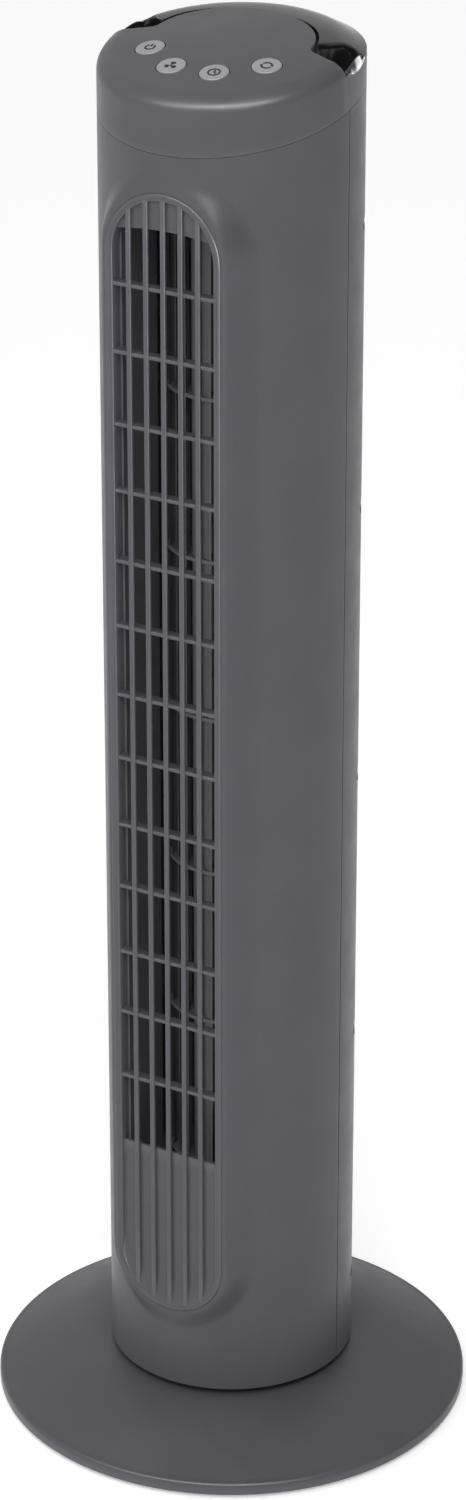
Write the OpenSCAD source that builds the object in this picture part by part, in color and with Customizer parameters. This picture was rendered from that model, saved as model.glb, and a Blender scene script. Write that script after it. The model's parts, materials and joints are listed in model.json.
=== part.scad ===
// Tower fan on a round base: a swinging tower with a cross-flow blower inside.
// The axis of the tower is Z, the air outlet faces -Y, and the floor is z = 0.

/* [Tower] */
// Outer radius of the tower housing
body_r = 68.4; // [66:0.1:72]
// Thickness of the moulded housings
wall = 2.4; // [2:0.1:3]
// Height of the tower's lower edge above the floor
body_bottom = 29.4; // [29:0.1:31]
// Height of the seam under the cap, on the axis
seam_z = 758; // [752:1:760]
// Forward tilt of that seam
seam_tilt = 13; // [10:0.5:14]

/* [Cap] */
// Height of the domed control panel on the axis
dome_z = 787.6; // [785:0.1:792]
// Forward tilt of the control panel
dome_tilt = 10; // [8:0.5:11]
// Radius of the panel's dome
dome_r = 500; // [400:10:800]
// Radius of the rounded edge of the panel
cap_round = 7; // [5:0.5:8]
// Half width of the round tongue at the back of the panel
tongue_x = 44.5; // [40:0.5:46]
// Depth of that tongue behind the axis
tongue_y = 34.5; // [30:0.5:38]

/* [Buttons] */
// Radius of a button
button_r = 7.6; // [6:0.1:8]
// Gap around a button
button_gap = 0.4; // [0.3:0.05:0.6]
// How far a button travels
button_travel = 1.2; // [0.8:0.1:1.5]
// How far a button stands above the panel
button_proud = 0.3; // [0:0.1:0.6]

/* [Outlet grille] */
// Distance of the grille's flat face from the axis
face_y = 70.3; // [69:0.1:72]
// Half width of the grille
grille_hw = 33.6; // [32:0.1:35]
// Width of the grille's flat border
border_w = 4.1; // [3:0.1:5]
// Lower end of the grille
grille_lo = 77; // [70:1:90]
// Upper end of the grille
grille_hi = 722.6; // [700:0.1:725]
// Lower end of the open rows
open_lo = 175.9; // [160:0.1:190]
// Upper end of the open rows
open_hi = 702.7; // [690:0.1:705]
// Number of upright bars
bars = 5; // [3:1:7]
// Distance between upright bars
bar_pitch = 10.1; // [9:0.1:12]
// Width of an upright bar
bar_w = 3.2; // [2.4:0.1:4]
// Number of cross ribs
ribs = 13; // [8:1:14]
// Distance between cross ribs
rib_pitch = 37.85; // [34:0.05:38]
// Height of the top of the uppermost cross rib
rib_top = 672.8; // [660:0.1:674]
// Alternate ribs are shifted by this much up and down
rib_stagger = 0.7; // [0:0.1:1]
// Thickness of a cross rib
rib_t = 2.4; // [2:0.1:3]

/* [Intake grille] */
// Number of intake rows in the rear housing
intake_rows = 42; // [30:1:43]
// Distance between intake rows
intake_pitch = 12.5; // [10:0.1:12.5]
// Height of an intake slot
intake_slot = 7; // [4:0.5:8]

/* [Base] */
// Radius of the base
base_r = 133; // [125:1:140]
// Height of the outer rim's rounded top
rim_h = 9.1; // [8:0.1:11]
// Height of the middle of the base, under the tower
hub_h = 25; // [24:0.1:25]

/* [Blower] */
// Distance of the blower's axis behind the tower's axis
blower_y = 6; // [4:0.5:8]
// Outer radius of the blower wheel
wheel_r = 38; // [34:0.5:40]
// Lower end of the blower wheel
wheel_lo = 150; // [148:1:160]
// Upper end of the blower wheel
wheel_hi = 694; // [680:1:695]
// Number of blades
blades = 30; // [20:1:36]

/* [Swing drive] */
// Distance of the crank's centre behind the tower's axis
crank_y = 26; // [24:0.5:28]
// Throw of the crank pin
crank_throw = 16.7; // [15:0.1:17]
// Radius of the crank pin
pin_r = 2.5; // [2:0.1:3]
// Half width of the slot that the pin runs in
slot_hw = 5.9; // [5.8:0.1:6.5]

/* [Hidden] */

$fn = 96;
hull_fn = 32;
eps = 0.01;
fit = 0.05;
far = 400;
inner_r = body_r - wall;
gap = 0.3;

// Colours
body_grey = [0.37, 0.38, 0.39];
button_grey = [0.62, 0.63, 0.65];
gloss_grey = [0.10, 0.10, 0.11];
dark_plastic = [0.16, 0.16, 0.17];
steel = [0.62, 0.63, 0.65];
rubber_black = [0.07, 0.07, 0.07];
white_plastic = [0.86, 0.86, 0.84];
copper = [0.72, 0.42, 0.24];
board_green = [0.10, 0.32, 0.18];
bronze = [0.66, 0.50, 0.28];

// Levels in the base and the turntable
foot_h = 1.5;
foot_ring = 116;
base_screw_ring = 58;
plate_top = 4.5;
post_flange_top = 7.6;
thrust_top = hub_h + 1.6;
sleeve_lo = thrust_top + gap;
floor_lo = body_bottom + 0.4;
floor_hi = floor_lo + 3;
sleeve_hi = 42;
post_hi = sleeve_hi + gap;
washer_hi = post_hi + 1.5;
yoke_hi = washer_hi + 3;
crank_lo = yoke_hi + 1.2;
crank_hi = crank_lo + 3;
bracket_lo = crank_hi + 0.8;
bracket_hi = bracket_lo + 1.7;
swing_motor_hi = bracket_hi + 15;

// Radii of the turntable
post_r = 14;
post_hole_r = 6;
sleeve_r = 18;
washer_r = 19;
yoke_screw_ring = 10;
post_screw_ring = 19.5;
yoke_end = 48;

// Levels in the blower section
motor_lo = 80;
motor_hi = 134;
plate_lo = 141;
plate_hi = 143.5;
top_plate_lo = 703;
shaft_r = 4;
spindle_r = 3;
motor_r = 38;
damper_ring = 43;
partition_r = 64;
harness_x = -52;
harness_y = 34;
harness_r = 2.5;

// Buttons: place of each on the panel, as distance from the axis and angle
// from the front, positive to the right when facing the outlet
button_ring = 41.5;
power_angle = -54.5;
speed_angle = -17.3;
timer_angle = 17.3;
swing_angle = 54.5;
skin = 2.6;
switch_base = 12.4;
switch_h = 3.5;
plunger_top = 8.4;
board_drop = 16;
board_t = 1.6;
board_screw_x = 24;
board_screw_y = 10;

// Handle and finger recess
well_floor = 740;
window_hw = 42;
window_lo = 744;
window_hi = 766;
handle_front = 14;
handle_edge = 780.8;
handle_wall = 4;
skirt_t = 2.4;
lip_z = 780.6;
well_wall = 2;

module ring(outer, inner, h) {
    difference() {
        cylinder(r = outer, h = h);
        translate([0, 0, -1])
            cylinder(r = inner, h = h + 2);
    }
}

// Copies of the children on a circle
module around(count, radius, start = 0) {
    for (i = [0 : count - 1])
        rotate([0, 0, start + i * 360 / count])
            translate([radius, 0, 0])
                children();
}

// Upright capsule, half width hw, from lo to hi, extruded from y = back to y = front
module capsule_plate(hw, lo, hi, front, back) {
    translate([0, back, 0])
        rotate([90, 0, 0])
            linear_extrude(height = back - front)
                union() {
                    translate([0, lo + hw]) circle(r = hw);
                    translate([0, hi - hw]) circle(r = hw);
                    translate([-hw, lo + hw]) square([2 * hw, hi - lo - 2 * hw]);
                }
}

// Half space above the plane through height z on the axis, tilted forward
module above(z, tilt) {
    translate([0, 0, z])
        rotate([tilt, 0, 0])
            translate([-far / 2, -far / 2, 0])
                cube([far, far, far / 2]);
}

// Half space below that plane
module below(z, tilt) {
    translate([0, 0, z])
        rotate([tilt, 0, 0])
            translate([-far / 2, -far / 2, -4 * far])
                cube([far, far, 4 * far]);
}

// Rounded, domed puck whose top is the control panel, lowered by drop
module dome_puck(radius, drop) {
    edge = cap_round - drop;
    crown = radius * radius / (2 * dome_r);
    side_top = -crown - cap_round;
    translate([0, 0, dome_z])
        rotate([dome_tilt, 0, 0])
            rotate_extrude()
                difference() {
                    union() {
                        translate([0, side_top - 60]) square([radius, 60]);
                        translate([0, side_top - eps]) square([radius - edge, edge + eps]);
                        translate([radius - edge, side_top]) circle(r = edge);
                        intersection() {
                            translate([0, -dome_r - drop]) circle(r = dome_r, $fn = 720);
                            translate([0, side_top]) square([radius - edge, far]);
                        }
                    }
                    translate([-far, -far]) square([far, 2 * far]);
                }
}

// Moves the children to a place on the panel: their z = 0 is its surface
module on_panel(ring_r, angle) {
    translate([0, 0, dome_z])
        rotate([dome_tilt, 0, 0])
            translate([0, 0, -dome_r])
                rotate([0, 0, angle - 90])
                    rotate([0, asin(ring_r / dome_r), 0])
                        translate([0, 0, dome_r])
                            children();
}

// Outline of the control panel, grown by grow: a front part as wide as the
// tower, and the round tongue behind it
module panel_outline(grow) {
    notch_y = 1 + grow;
    rim_y = -4 + grow;
    tx = tongue_x + grow;
    ty = tongue_y + grow;
    polygon(concat(
        [[-90, -90], [90, -90], [90, rim_y], [60, rim_y], [tx + 4, notch_y - 1.5]],
        [for (a = [4 : 8 : 176]) [tx * cos(a), ty * sin(a) + notch_y * (1 - sin(a))]],
        [[-tx - 4, notch_y - 1.5], [-60, rim_y], [-90, rim_y]]));
}

// ---- base ----

function crown_z(r) = rim_h + (hub_h - rim_h) * sin(90 * (base_r - 2.4 - r) / (base_r - 66));

module base_cover() {
    outer = [for (i = [0 : 12]) let (r = base_r - 2.4 - i * (base_r - 66 - 2.4) / 12)
        [r, crown_z(r)]];
    rim = [for (a = [0 : 15 : 75]) [base_r - 2.4 + 2.4 * cos(a), rim_h - 2.4 + 2.4 * sin(a)]];
    skin_under = [for (i = [12 : -1 : 1]) let (r = base_r - 2.4 - i * (base_r - 66 - 2.4) / 12)
        [r, crown_z(r) - 2.8]];
    color(body_grey)
        difference() {
            union() {
                rotate_extrude()
                    polygon(concat([[base_r, 2]], rim, outer,
                        [[62, hub_h], [post_r + gap, hub_h], [post_r + gap, hub_h - 3],
                         [62, hub_h - 3]], skin_under,
                        [[base_r - 2.6, rim_h - 2.6], [base_r - 2.6, 2]]));
                around(6, base_screw_ring, 30)
                    translate([0, 0, plate_top])
                        cylinder(r = 5, h = hub_h - plate_top - 1);
            }
            around(6, base_screw_ring, 30)
                translate([0, 0, plate_top - 1])
                    cylinder(r = 2, h = 12);
        }
}

module base_plate() {
    color(dark_plastic)
        difference() {
            translate([0, 0, foot_h])
                cylinder(r = base_r - 2.9, h = plate_top - foot_h);
            around(6, base_screw_ring, 30) {
                cylinder(r = 2.1, h = 10);
                cylinder(r = 4, h = foot_h + 1.6);
            }
            around(4, post_screw_ring, 45) {
                cylinder(r = 2.1, h = 10);
                cylinder(r = 4, h = foot_h + 1.6);
            }
        }
}

module base_weight() {
    color(steel)
        translate([0, 0, plate_top])
            ring(116, 70, 4);
}

module rubber_feet() {
    color(rubber_black)
        around(5, foot_ring, 90)
            cylinder(r = 9, h = foot_h);
}

// Pan-head screw pointing up, its head's lower face at z = 0
module screw_up(shank_r, head_r, head_h, length) {
    cylinder(r = head_r, h = head_h);
    translate([0, 0, head_h - eps])
        cylinder(r = shank_r, h = length - head_h);
}

module base_screws() {
    color(steel)
        around(6, base_screw_ring, 30)
            translate([0, 0, foot_h + 0.2])
                screw_up(1.9, 3.6, 1.3, 13);
}

module thrust_ring() {
    color(white_plastic)
        translate([0, 0, hub_h])
            ring(55, 45, thrust_top - hub_h);
}

module pivot_post() {
    color(steel)
        difference() {
            union() {
                translate([0, 0, plate_top])
                    cylinder(r = 25, h = post_flange_top - plate_top);
                translate([0, 0, plate_top])
                    cylinder(r = post_r, h = post_hi - plate_top);
            }
            translate([0, 0, plate_top - 1])
                cylinder(r = post_hole_r, h = post_hi);
            around(4, post_screw_ring, 45)
                translate([0, 0, plate_top - 1])
                    cylinder(r = 2, h = 6);
            around(3, yoke_screw_ring, 30)
                translate([0, 0, post_hi - 14])
                    cylinder(r = 1.7, h = 20);
        }
}

module post_screws() {
    color(steel)
        around(4, post_screw_ring, 45)
            translate([0, 0, foot_h + 0.2])
                screw_up(1.9, 3.6, 1.3, 6);
}

module retaining_washer() {
    color(steel)
        translate([0, 0, post_hi])
            difference() {
                ring(washer_r, post_hole_r, washer_hi - post_hi);
                around(3, yoke_screw_ring, 30)
                    translate([0, 0, -1])
                        cylinder(r = 1.8, h = 6);
            }
}

module swing_yoke() {
    arm_hw = slot_hw + 3.6;
    color(steel)
        translate([0, 0, washer_hi])
            difference() {
                union() {
                    cylinder(r = washer_r, h = yoke_hi - washer_hi);
                    translate([-arm_hw, 0, 0])
                        cube([2 * arm_hw, yoke_end, yoke_hi - washer_hi]);
                }
                translate([-slot_hw, slot_hw, -1])
                    cube([2 * slot_hw, yoke_end - 2.5 - slot_hw * 2, 6]);
                translate([0, slot_hw, -1])
                    cylinder(r = slot_hw, h = 6);
                translate([0, yoke_end - 2.5 - slot_hw, -1])
                    cylinder(r = slot_hw, h = 6);
                around(3, yoke_screw_ring, 30) {
                    translate([0, 0, -1])
                        cylinder(r = 1.8, h = 6);
                    translate([0, 0, 1.4])
                        cylinder(r = 3.3, h = 6);
                }
            }
}

module yoke_screws() {
    color(steel)
        around(3, yoke_screw_ring, 30)
            translate([0, 0, yoke_hi - 0.1])
                rotate([180, 0, 0])
                    screw_up(1.6, 3.1, 1.5, 15);
}

// ---- tower shell ----

// Space inside the tower, as far in as radius r
module tower_core(r) {
    cylinder(r = r, h = dome_z + 40);
}

// Lugs inside the front housing that the cap is screwed to
lug_x = 36;
lug_y = -44;
lug_z = 732;

module front_housing() {
    fairing_foot = grille_hw + 12.5;
    fairing_top = grille_hw + 0.7;
    color(body_grey)
        difference() {
            union() {
                difference() {
                    union() {
                        translate([0, 0, body_bottom])
                            cylinder(r = body_r, h = seam_z);
                        fairing(fairing_foot, fairing_top, face_y - 0.5);
                    }
                    tower_core(inner_r);
                    fairing(fairing_foot - wall, fairing_top - wall, face_y - 0.5 - wall);
                }
                for (side = [-1, 1])
                    front_fixings(side);
            }
            capsule_plate(grille_hw + gap / 2, grille_lo - gap / 2, grille_hi + gap / 2, -90, -40);
            above(seam_z - gap / 2, seam_tilt);
            translate([-far / 2, -gap / 2, -1])
                cube([far, far, 900]);
            for (side = [-1, 1])
                front_holes(side);
        }
}

// Smooth swelling of the housing that carries the flat grille
module fairing(foot, top, face) {
    hull() {
        capsule_disc(foot, grille_lo - 12, grille_hi + 12, 48);
        capsule_disc(top, grille_lo - 0.7, grille_hi + 0.7, face - 0.6);
    }
}

module capsule_disc(hw, lo, hi, y) {
    for (z = [lo + hw, hi - hw])
        translate([0, -y, z])
            rotate([90, 0, 0])
                cylinder(r = hw, h = 0.6, $fn = hull_fn);
}

screw_x = 60.5;
screw_z = [70, 225, 380, 535, 690];

module front_fixings(side) {
    for (z = screw_z)
        intersection() {
            tower_core(inner_r + 1);
            translate([side * screw_x, -gap / 2, z])
                rotate([90, 0, 0])
                    cylinder(r = 6, h = 16);
        }
    intersection() {
        tower_core(inner_r + 1);
        translate([side * lug_x, lug_y, lug_z])
            union() {
                cylinder(r = 6, h = 3);
                rotate([0, 0, side > 0 ? -50 : -130])
                    translate([0, -6, 0])
                        cube([20, 12, 3]);
            }
    }
}

module front_holes(side) {
    for (z = screw_z)
        translate([side * screw_x, 1, z])
            rotate([90, 0, 0])
                cylinder(r = 1.7, h = 15);
    translate([side * lug_x, lug_y, lug_z - 1])
        cylinder(r = 1.9, h = 5);
}

module rear_housing() {
    intake_lo = 162;
    intake_x = 54;
    color(body_grey)
        difference() {
            union() {
                intersection() {
                    difference() {
                        translate([0, 0, body_bottom])
                            ring(body_r, inner_r, seam_z);
                        for (i = [0 : intake_rows - 1])
                            translate([-intake_x, 20, intake_lo + i * intake_pitch])
                                cube([2 * intake_x, 60, intake_slot]);
                    }
                    translate([-far / 2, gap / 2, 0])
                        cube([far, far, 900]);
                }
                intersection() {
                    translate([0, 0, intake_lo - 6])
                        ring(body_r - 0.5, inner_r - 1.2, intake_rows * intake_pitch + 8);
                    for (x = [-2 : 2])
                        translate([x * 18 - 2, 20, intake_lo - 4])
                            cube([4, 60, intake_rows * intake_pitch + 3]);
                }
                for (side = [-1, 1])
                    rear_fixings(side);
            }
            above(seam_z - gap / 2, seam_tilt);
            for (side = [-1, 1])
                rear_holes(side);
            translate([-window_hw, 30, window_lo])
                cube([2 * window_hw, 60, window_hi - window_lo]);
            translate([0, 80, gland_z])
                rotate([90, 0, 0])
                    cylinder(r = 7.1, h = 40);
        }
}

tunnel_y = 7;

module rear_fixings(side) {
    for (z = screw_z)
        intersection() {
            tower_core(body_r - 0.5);
            translate([side * screw_x, tunnel_y, z])
                rotate([-90, 0, 0])
                    cylinder(r = 5.4, h = 40);
        }
}

module rear_holes(side) {
    for (z = screw_z) {
        translate([side * screw_x, tunnel_y + 2, z])
            rotate([-90, 0, 0])
                cylinder(r = 3.8, h = 60);
        translate([side * screw_x, tunnel_y - 1, z])
            rotate([-90, 0, 0])
                cylinder(r = 1.9, h = 5);
    }
}

module housing_screws() {
    color(steel)
        for (side = [-1, 1], z = screw_z)
            translate([side * screw_x, tunnel_y + 4, z])
                rotate([90, 0, 0])
                    screw_up(1.6, 3.3, 1.8, 22);
}

// ---- outlet grille ----

module outlet_grille() {
    inner_hw = grille_hw - border_w;
    depth = 8;
    recess = 2.2;
    set_back = 0.8;
    bar_depth = 5;
    arch_r = 170;
    arch_rise = 2;
    color(body_grey)
        union() {
            difference() {
                capsule_plate(grille_hw, grille_lo, grille_hi, -face_y, -face_y + depth);
                capsule_plate(inner_hw, grille_lo + border_w, grille_hi - border_w,
                    -face_y - 1, -face_y + depth + 1);
            }
            intersection() {
                capsule_plate(inner_hw + 0.5, grille_lo + border_w - 0.5,
                    grille_hi - border_w + 0.5, -face_y, -face_y + depth);
                union() {
                    for (i = [0 : bars - 1])
                        translate([(i - (bars - 1) / 2) * bar_pitch - bar_w / 2, -face_y, 0])
                            cube([bar_w, bar_depth, 800]);
                    for (i = [0 : ribs - 1])
                        translate([-grille_hw, -face_y + set_back,
                                rib_top - rib_t - i * rib_pitch - rib_stagger * pow(-1, i)])
                            cube([2 * grille_hw, depth - set_back, rib_t]);
                    translate([-grille_hw, -face_y + recess, grille_lo])
                        cube([2 * grille_hw, 1.6, open_lo - grille_lo]);
                    difference() {
                        translate([-grille_hw, -face_y + recess, open_hi - arch_rise])
                            cube([2 * grille_hw, 1.6, 60]);
                        translate([0, 0, open_hi - arch_r])
                            rotate([90, 0, 0])
                                cylinder(r = arch_r, h = 90);
                    }
                }
            }
        }
}

// ---- cap, handle and finger recess ----

// Everything under the panel's surface, lowered by drop, and inside radius r
module cap_block(r, drop) {
    intersection() {
        translate([0, 0, 700])
            cylinder(r = r, h = 120);
        dome_puck(body_r / cos(dome_tilt) + 0.2, drop);
    }
}

module top_cap() {
    color(body_grey)
        difference() {
            union() {
                difference() {
                    union() {
                        difference() {
                            intersection() {
                                cap_block(body_r, 0);
                                outline_block(0);
                            }
                            cap_block(inner_r, skin);
                        }
                        cap_rim();
                    }
                    below(seam_z + gap / 2, seam_tilt);
                }
                for (side = [-1, 1]) {
                    cap_boss(side);
                    board_boss(side);
                }
            }
            for (a = [power_angle, speed_angle, timer_angle, swing_angle])
                on_panel(button_ring, a)
                    translate([0, 0, -10])
                        cylinder(r = button_r + button_gap, h = 20);
        }
}

// Upright block with the outline of the control panel
module outline_block(grow) {
    translate([0, 0, 700])
        linear_extrude(height = 120)
            panel_outline(grow);
}

// Outer wall of the cap behind the panel: a bare rim at the finger holes, and
// lower where the handle covers it
module cap_rim() {
    difference() {
        translate([0, 0, 735])
            ring(body_r, inner_r, 70);
        above(lip_z, dome_tilt);
        translate([-far / 2, handle_front, handle_edge])
            cube([far, far, 60]);
    }
}

module cap_boss(side) {
    intersection() {
        cap_block(inner_r + 1, 1);
        difference() {
            translate([side * lug_x, lug_y, lug_z + 3.2])
                cylinder(r = 4.5, h = 60);
            translate([side * lug_x, lug_y, lug_z])
                cylinder(r = 1.8, h = 25);
        }
    }
}

// Boss that the control board hangs from, with its pilot hole
module board_boss(side) {
    boss_r = 4;
    pilot_r = 1.6;
    on_board()
        translate([side * board_screw_x, board_screw_y, board_t])
            ring(boss_r, pilot_r, board_drop - board_t - skin + 0.6);
}

module cap_screws() {
    color(steel)
        for (side = [-1, 1])
            translate([side * lug_x, lug_y, lug_z - 2])
                screw_up(1.7, 3.2, 1.8, 20);
}

// Profile of the handle: a bridge from the panel's tongue that slopes down to a
// rolled edge at the rim
function handle_z(r) = handle_edge + 0.8 + 1.2 * sqrt(1 - pow(r / body_r, 30))
    + 8.6 * pow(1 - pow(r / body_r, 8.5), 2.1);

module handle_block(drop) {
    rotate_extrude()
        polygon(concat(
            [[0, well_floor - 1]],
            [[body_r - drop, well_floor - 1]],
            [for (i = [0 : 14]) let (r = 20 + (body_r - 20) * sin(90 - i * 90 / 14))
                [max(r - drop, 1), handle_z(r) - drop]],
            [[0, handle_z(20) - drop]]));
}

module carry_handle() {
    color(gloss_grey)
        union() {
            difference() {
                intersection() {
                    handle_block(0);
                    translate([-far / 2, handle_front, handle_edge + 0.2])
                        cube([far, far, 60]);
                    union() {
                        dome_puck(body_r + 3, 0);
                        translate([-far / 2, 30, 700])
                            cube([far, far, 120]);
                    }
                }
                handle_block(handle_wall);
                outline_block(0.4);
            }
            handle_skirts();
        }
}

// Walls that close the recess behind the two finger holes
module handle_skirts() {
    floor_z = well_floor + well_wall + gap;
    difference() {
        intersection() {
            handle_block(handle_wall - 0.4);
            translate([-far / 2, handle_front, floor_z])
                cube([far, skirt_t, 60]);
            translate([0, 0, floor_z])
                cylinder(r = inner_r - 0.2 - gap, h = 60);
        }
        outline_block(0.2 + well_wall + gap);
    }
}

// Dark tray under the handle: its floor, and the wall that follows the tongue
module handle_well() {
    color(dark_plastic)
        difference() {
            intersection() {
                translate([0, 0, well_floor])
                    cylinder(r = inner_r - 0.2, h = 60);
                below(dome_z - 7.5, dome_tilt);
                handle_block(handle_wall + 0.2 + eps);
                difference() {
                    translate([-far / 2, -30, 700])
                        cube([far, far, 120]);
                    outline_block(0.2);
                }
            }
            difference() {
                translate([0, 0, well_floor + well_wall])
                    cylinder(r = inner_r + 5, h = 60);
                outline_block(0.2 + well_wall);
            }
        }
}

// ---- buttons and control board ----

// One button: round cap, a flange that keeps it in, and a stem to its switch
module button(angle) {
    color(button_grey)
        on_panel(button_ring, angle)
            union() {
                translate([0, 0, -skin - 0.4])
                    cylinder(r = button_r, h = skin + 0.4 + button_proud);
                translate([0, 0, -skin - 1.9])
                    cylinder(r = button_r + 1.6, h = 1.5);
                translate([0, 0, -plunger_top + button_travel + gap])
                    cylinder(r = 2.2, h = 4);
            }
}

module power_button() {
    button(power_angle);
}

module speed_button() {
    button(speed_angle);
}

module timer_button() {
    button(timer_angle);
}

module swing_button() {
    button(swing_angle);
}

module push_switches() {
    color(dark_plastic)
        for (a = [power_angle, speed_angle, timer_angle, swing_angle])
            on_panel(button_ring, a) {
                translate([-3, -3, -switch_base])
                    cube([6, 6, switch_h]);
                translate([0, 0, -switch_base])
                    cylinder(r = 1.75, h = switch_base - plunger_top);
            }
}

// Moves the children under the panel: their z = 0 is the board's lower face
module on_board() {
    translate([0, 0, dome_z])
        rotate([dome_tilt, 0, 0])
            translate([0, 0, -board_drop])
                children();
}

module control_board() {
    color(board_green)
        on_board()
            difference() {
                linear_extrude(height = board_t)
                    union() {
                        intersection() {
                            circle(r = 50);
                            translate([-60, -60]) square([120, 52]);
                        }
                        translate([-32, -20]) square([64, 38]);
                    }
                for (side = [-1, 1]) {
                    translate([side * board_screw_x, board_screw_y, -1])
                        cylinder(r = 1.8, h = 4);
                    translate([side * lug_x, lug_y - 3, -1])
                        cylinder(r = 6.2, h = 4);
                }
            }
}

module board_screws() {
    color(steel)
        on_board()
            for (side = [-1, 1])
                translate([side * board_screw_x, board_screw_y, -1.6])
                    screw_up(1.5, 2.8, 1.5, 12);
}

// ---- turntable and swing drive ----

bracket_posts = [[-24, 51], [24, 51], [0, -27]];

module tower_floor() {
    color(body_grey)
        difference() {
            union() {
                translate([0, 0, floor_lo])
                    cylinder(r = inner_r - 0.2, h = floor_hi - floor_lo);
                translate([0, 0, sleeve_lo])
                    ring(54, 46, floor_lo - sleeve_lo + 1);
                translate([0, 0, sleeve_lo])
                    cylinder(r = sleeve_r, h = sleeve_hi - sleeve_lo);
                for (p = bracket_posts)
                    translate([p[0], p[1], floor_lo])
                        cylinder(r = 3.8, h = bracket_lo - floor_lo);
            }
            cylinder(r = post_r + fit, h = 80);
            for (p = bracket_posts)
                translate([p[0], p[1], bracket_lo - 10])
                    cylinder(r = 1.5, h = 12);
        }
}

module swing_motor_bracket() {
    color(steel)
        translate([0, 0, bracket_lo])
            difference() {
                union() {
                    translate([-30, 46, 0])
                        cube([60, 10, bracket_hi - bracket_lo]);
                    translate([-11, -32, 0])
                        cube([22, 80, bracket_hi - bracket_lo]);
                    translate([0, crank_y, 0])
                        cylinder(r = 20, h = bracket_hi - bracket_lo);
                }
                translate([0, crank_y, -1])
                    cylinder(r = 5, h = 4);
                for (p = bracket_posts)
                    translate([p[0], p[1], -1])
                        cylinder(r = 1.7, h = 4);
            }
}

module bracket_screws() {
    color(steel)
        for (p = bracket_posts)
            translate([p[0], p[1], bracket_hi + 1.6])
                rotate([180, 0, 0])
                    screw_up(1.4, 2.8, 1.6, 10);
}

module swing_motor() {
    color(steel)
        difference() {
            union() {
                translate([0, crank_y, bracket_hi])
                    cylinder(r = 19, h = swing_motor_hi - bracket_hi);
                translate([-4, crank_y - 22, bracket_hi + 3])
                    cube([8, 8, 8]);
            }
            translate([0, crank_y, bracket_hi - 1])
                cylinder(r = spindle_r + fit, h = 7);
        }
}

module swing_crank() {
    color(white_plastic)
        union() {
            translate([0, crank_y, crank_lo])
                cylinder(r = crank_throw + 3.8, h = crank_hi - crank_lo);
            translate([0, crank_y + crank_throw, washer_hi + 0.4])
                cylinder(r = pin_r, h = crank_lo - washer_hi);
            translate([0, crank_y, crank_lo])
                cylinder(r = spindle_r, h = bracket_hi + 5.4 - crank_lo);
        }
}

// ---- blower motor ----

// Places the children on the blower's axis
module blower_axis() {
    translate([0, blower_y, 0])
        children();
}

module motor_can() {
    color(steel)
        blower_axis()
            difference() {
                union() {
                    translate([0, 0, motor_lo + 4])
                        cylinder(r = motor_r, h = motor_hi - motor_lo - 4);
                    translate([0, 0, motor_hi - 2])
                        cylinder(r = damper_ring + 6, h = 2);
                }
                translate([0, 0, motor_lo])
                    cylinder(r = motor_r - 1.4, h = motor_hi - motor_lo - 2);
                cylinder(r = 9.05, h = 200);
                around(4, damper_ring, 45)
                    cylinder(r = 2.2, h = 200);
            }
}

module motor_end_bell() {
    color(steel)
        blower_axis()
            translate([0, 0, motor_lo])
                difference() {
                    union() {
                        cylinder(r = motor_r, h = 3.8);
                        cylinder(r = 14, h = 7);
                    }
                    translate([0, 0, -1])
                        cylinder(r = 9.05, h = 10);
                }
}

module stator_core() {
    color(steel)
        blower_axis()
            translate([0, 0, motor_lo + 16])
                ring(motor_r - 1.5, 24, 24);
}

module stator_windings() {
    color(copper)
        blower_axis()
            for (z = [motor_lo + 10, motor_lo + 40.5])
                translate([0, 0, z])
                    ring(33, 25, 5.5);
}

module lower_motor_bush() {
    color(bronze)
        blower_axis()
            translate([0, 0, motor_lo])
                ring(9, shaft_r + fit, 7);
}

module upper_motor_bush() {
    color(bronze)
        blower_axis()
            translate([0, 0, motor_hi - 2])
                ring(9, shaft_r + fit, 6);
}

module motor_dampers() {
    color(rubber_black)
        blower_axis()
            around(4, damper_ring, 45)
                translate([0, 0, motor_hi])
                    ring(5.5, 2.2, plate_lo - motor_hi);
}

module motor_screws() {
    color(steel)
        blower_axis()
            around(4, damper_ring, 45)
                translate([0, 0, motor_hi - 4])
                    screw_up(1.9, 3.6, 2, 13);
}

// Round partition above or below the blower wheel, with a notch for the wires
module partition(hole_r) {
    difference() {
        cylinder(r = partition_r, h = plate_hi - plate_lo);
        translate([0, blower_y, -1])
            cylinder(r = hole_r, h = 10);
        translate([harness_x, harness_y, -1])
            cylinder(r = harness_r + 1, h = 10);
        translate([harness_x, harness_y, -1])
            rotate([0, 0, atan2(harness_y, harness_x)])
                translate([0, -harness_r - 1, 0])
                    cube([10, 2 * harness_r + 2, 10]);
    }
}

module motor_plate() {
    color(body_grey)
        translate([0, 0, plate_lo])
            difference() {
                partition(14);
                blower_axis()
                    around(4, damper_ring, 45)
                        translate([0, 0, -1])
                            cylinder(r = 2, h = 10);
            }
}

module run_capacitor() {
    color(white_plastic)
        translate([-59, -10, 88])
            cube([15, 30, 36]);
}

module power_board() {
    color(board_green)
        union() {
            translate([45, -22, 84])
                cube([1.6, 42, 44]);
            translate([46.6 - eps, -14, 92])
                cube([10, 14, 16]);
            translate([46.6 - eps, 4, 90])
                cube([9, 12, 12]);
            translate([46.6 - eps, 2, 112])
                cube([8, 14, 8]);
        }
}

module motor_shaft() {
    color(steel)
        blower_axis()
            translate([0, 0, motor_lo - 2])
                cylinder(r = shaft_r, h = wheel_lo + 10 - motor_lo + 2);
}

module rotor_core() {
    color(steel)
        blower_axis()
            translate([0, 0, motor_lo + 14])
                ring(23.4, shaft_r + fit, 28);
}

// ---- blower ----

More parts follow.
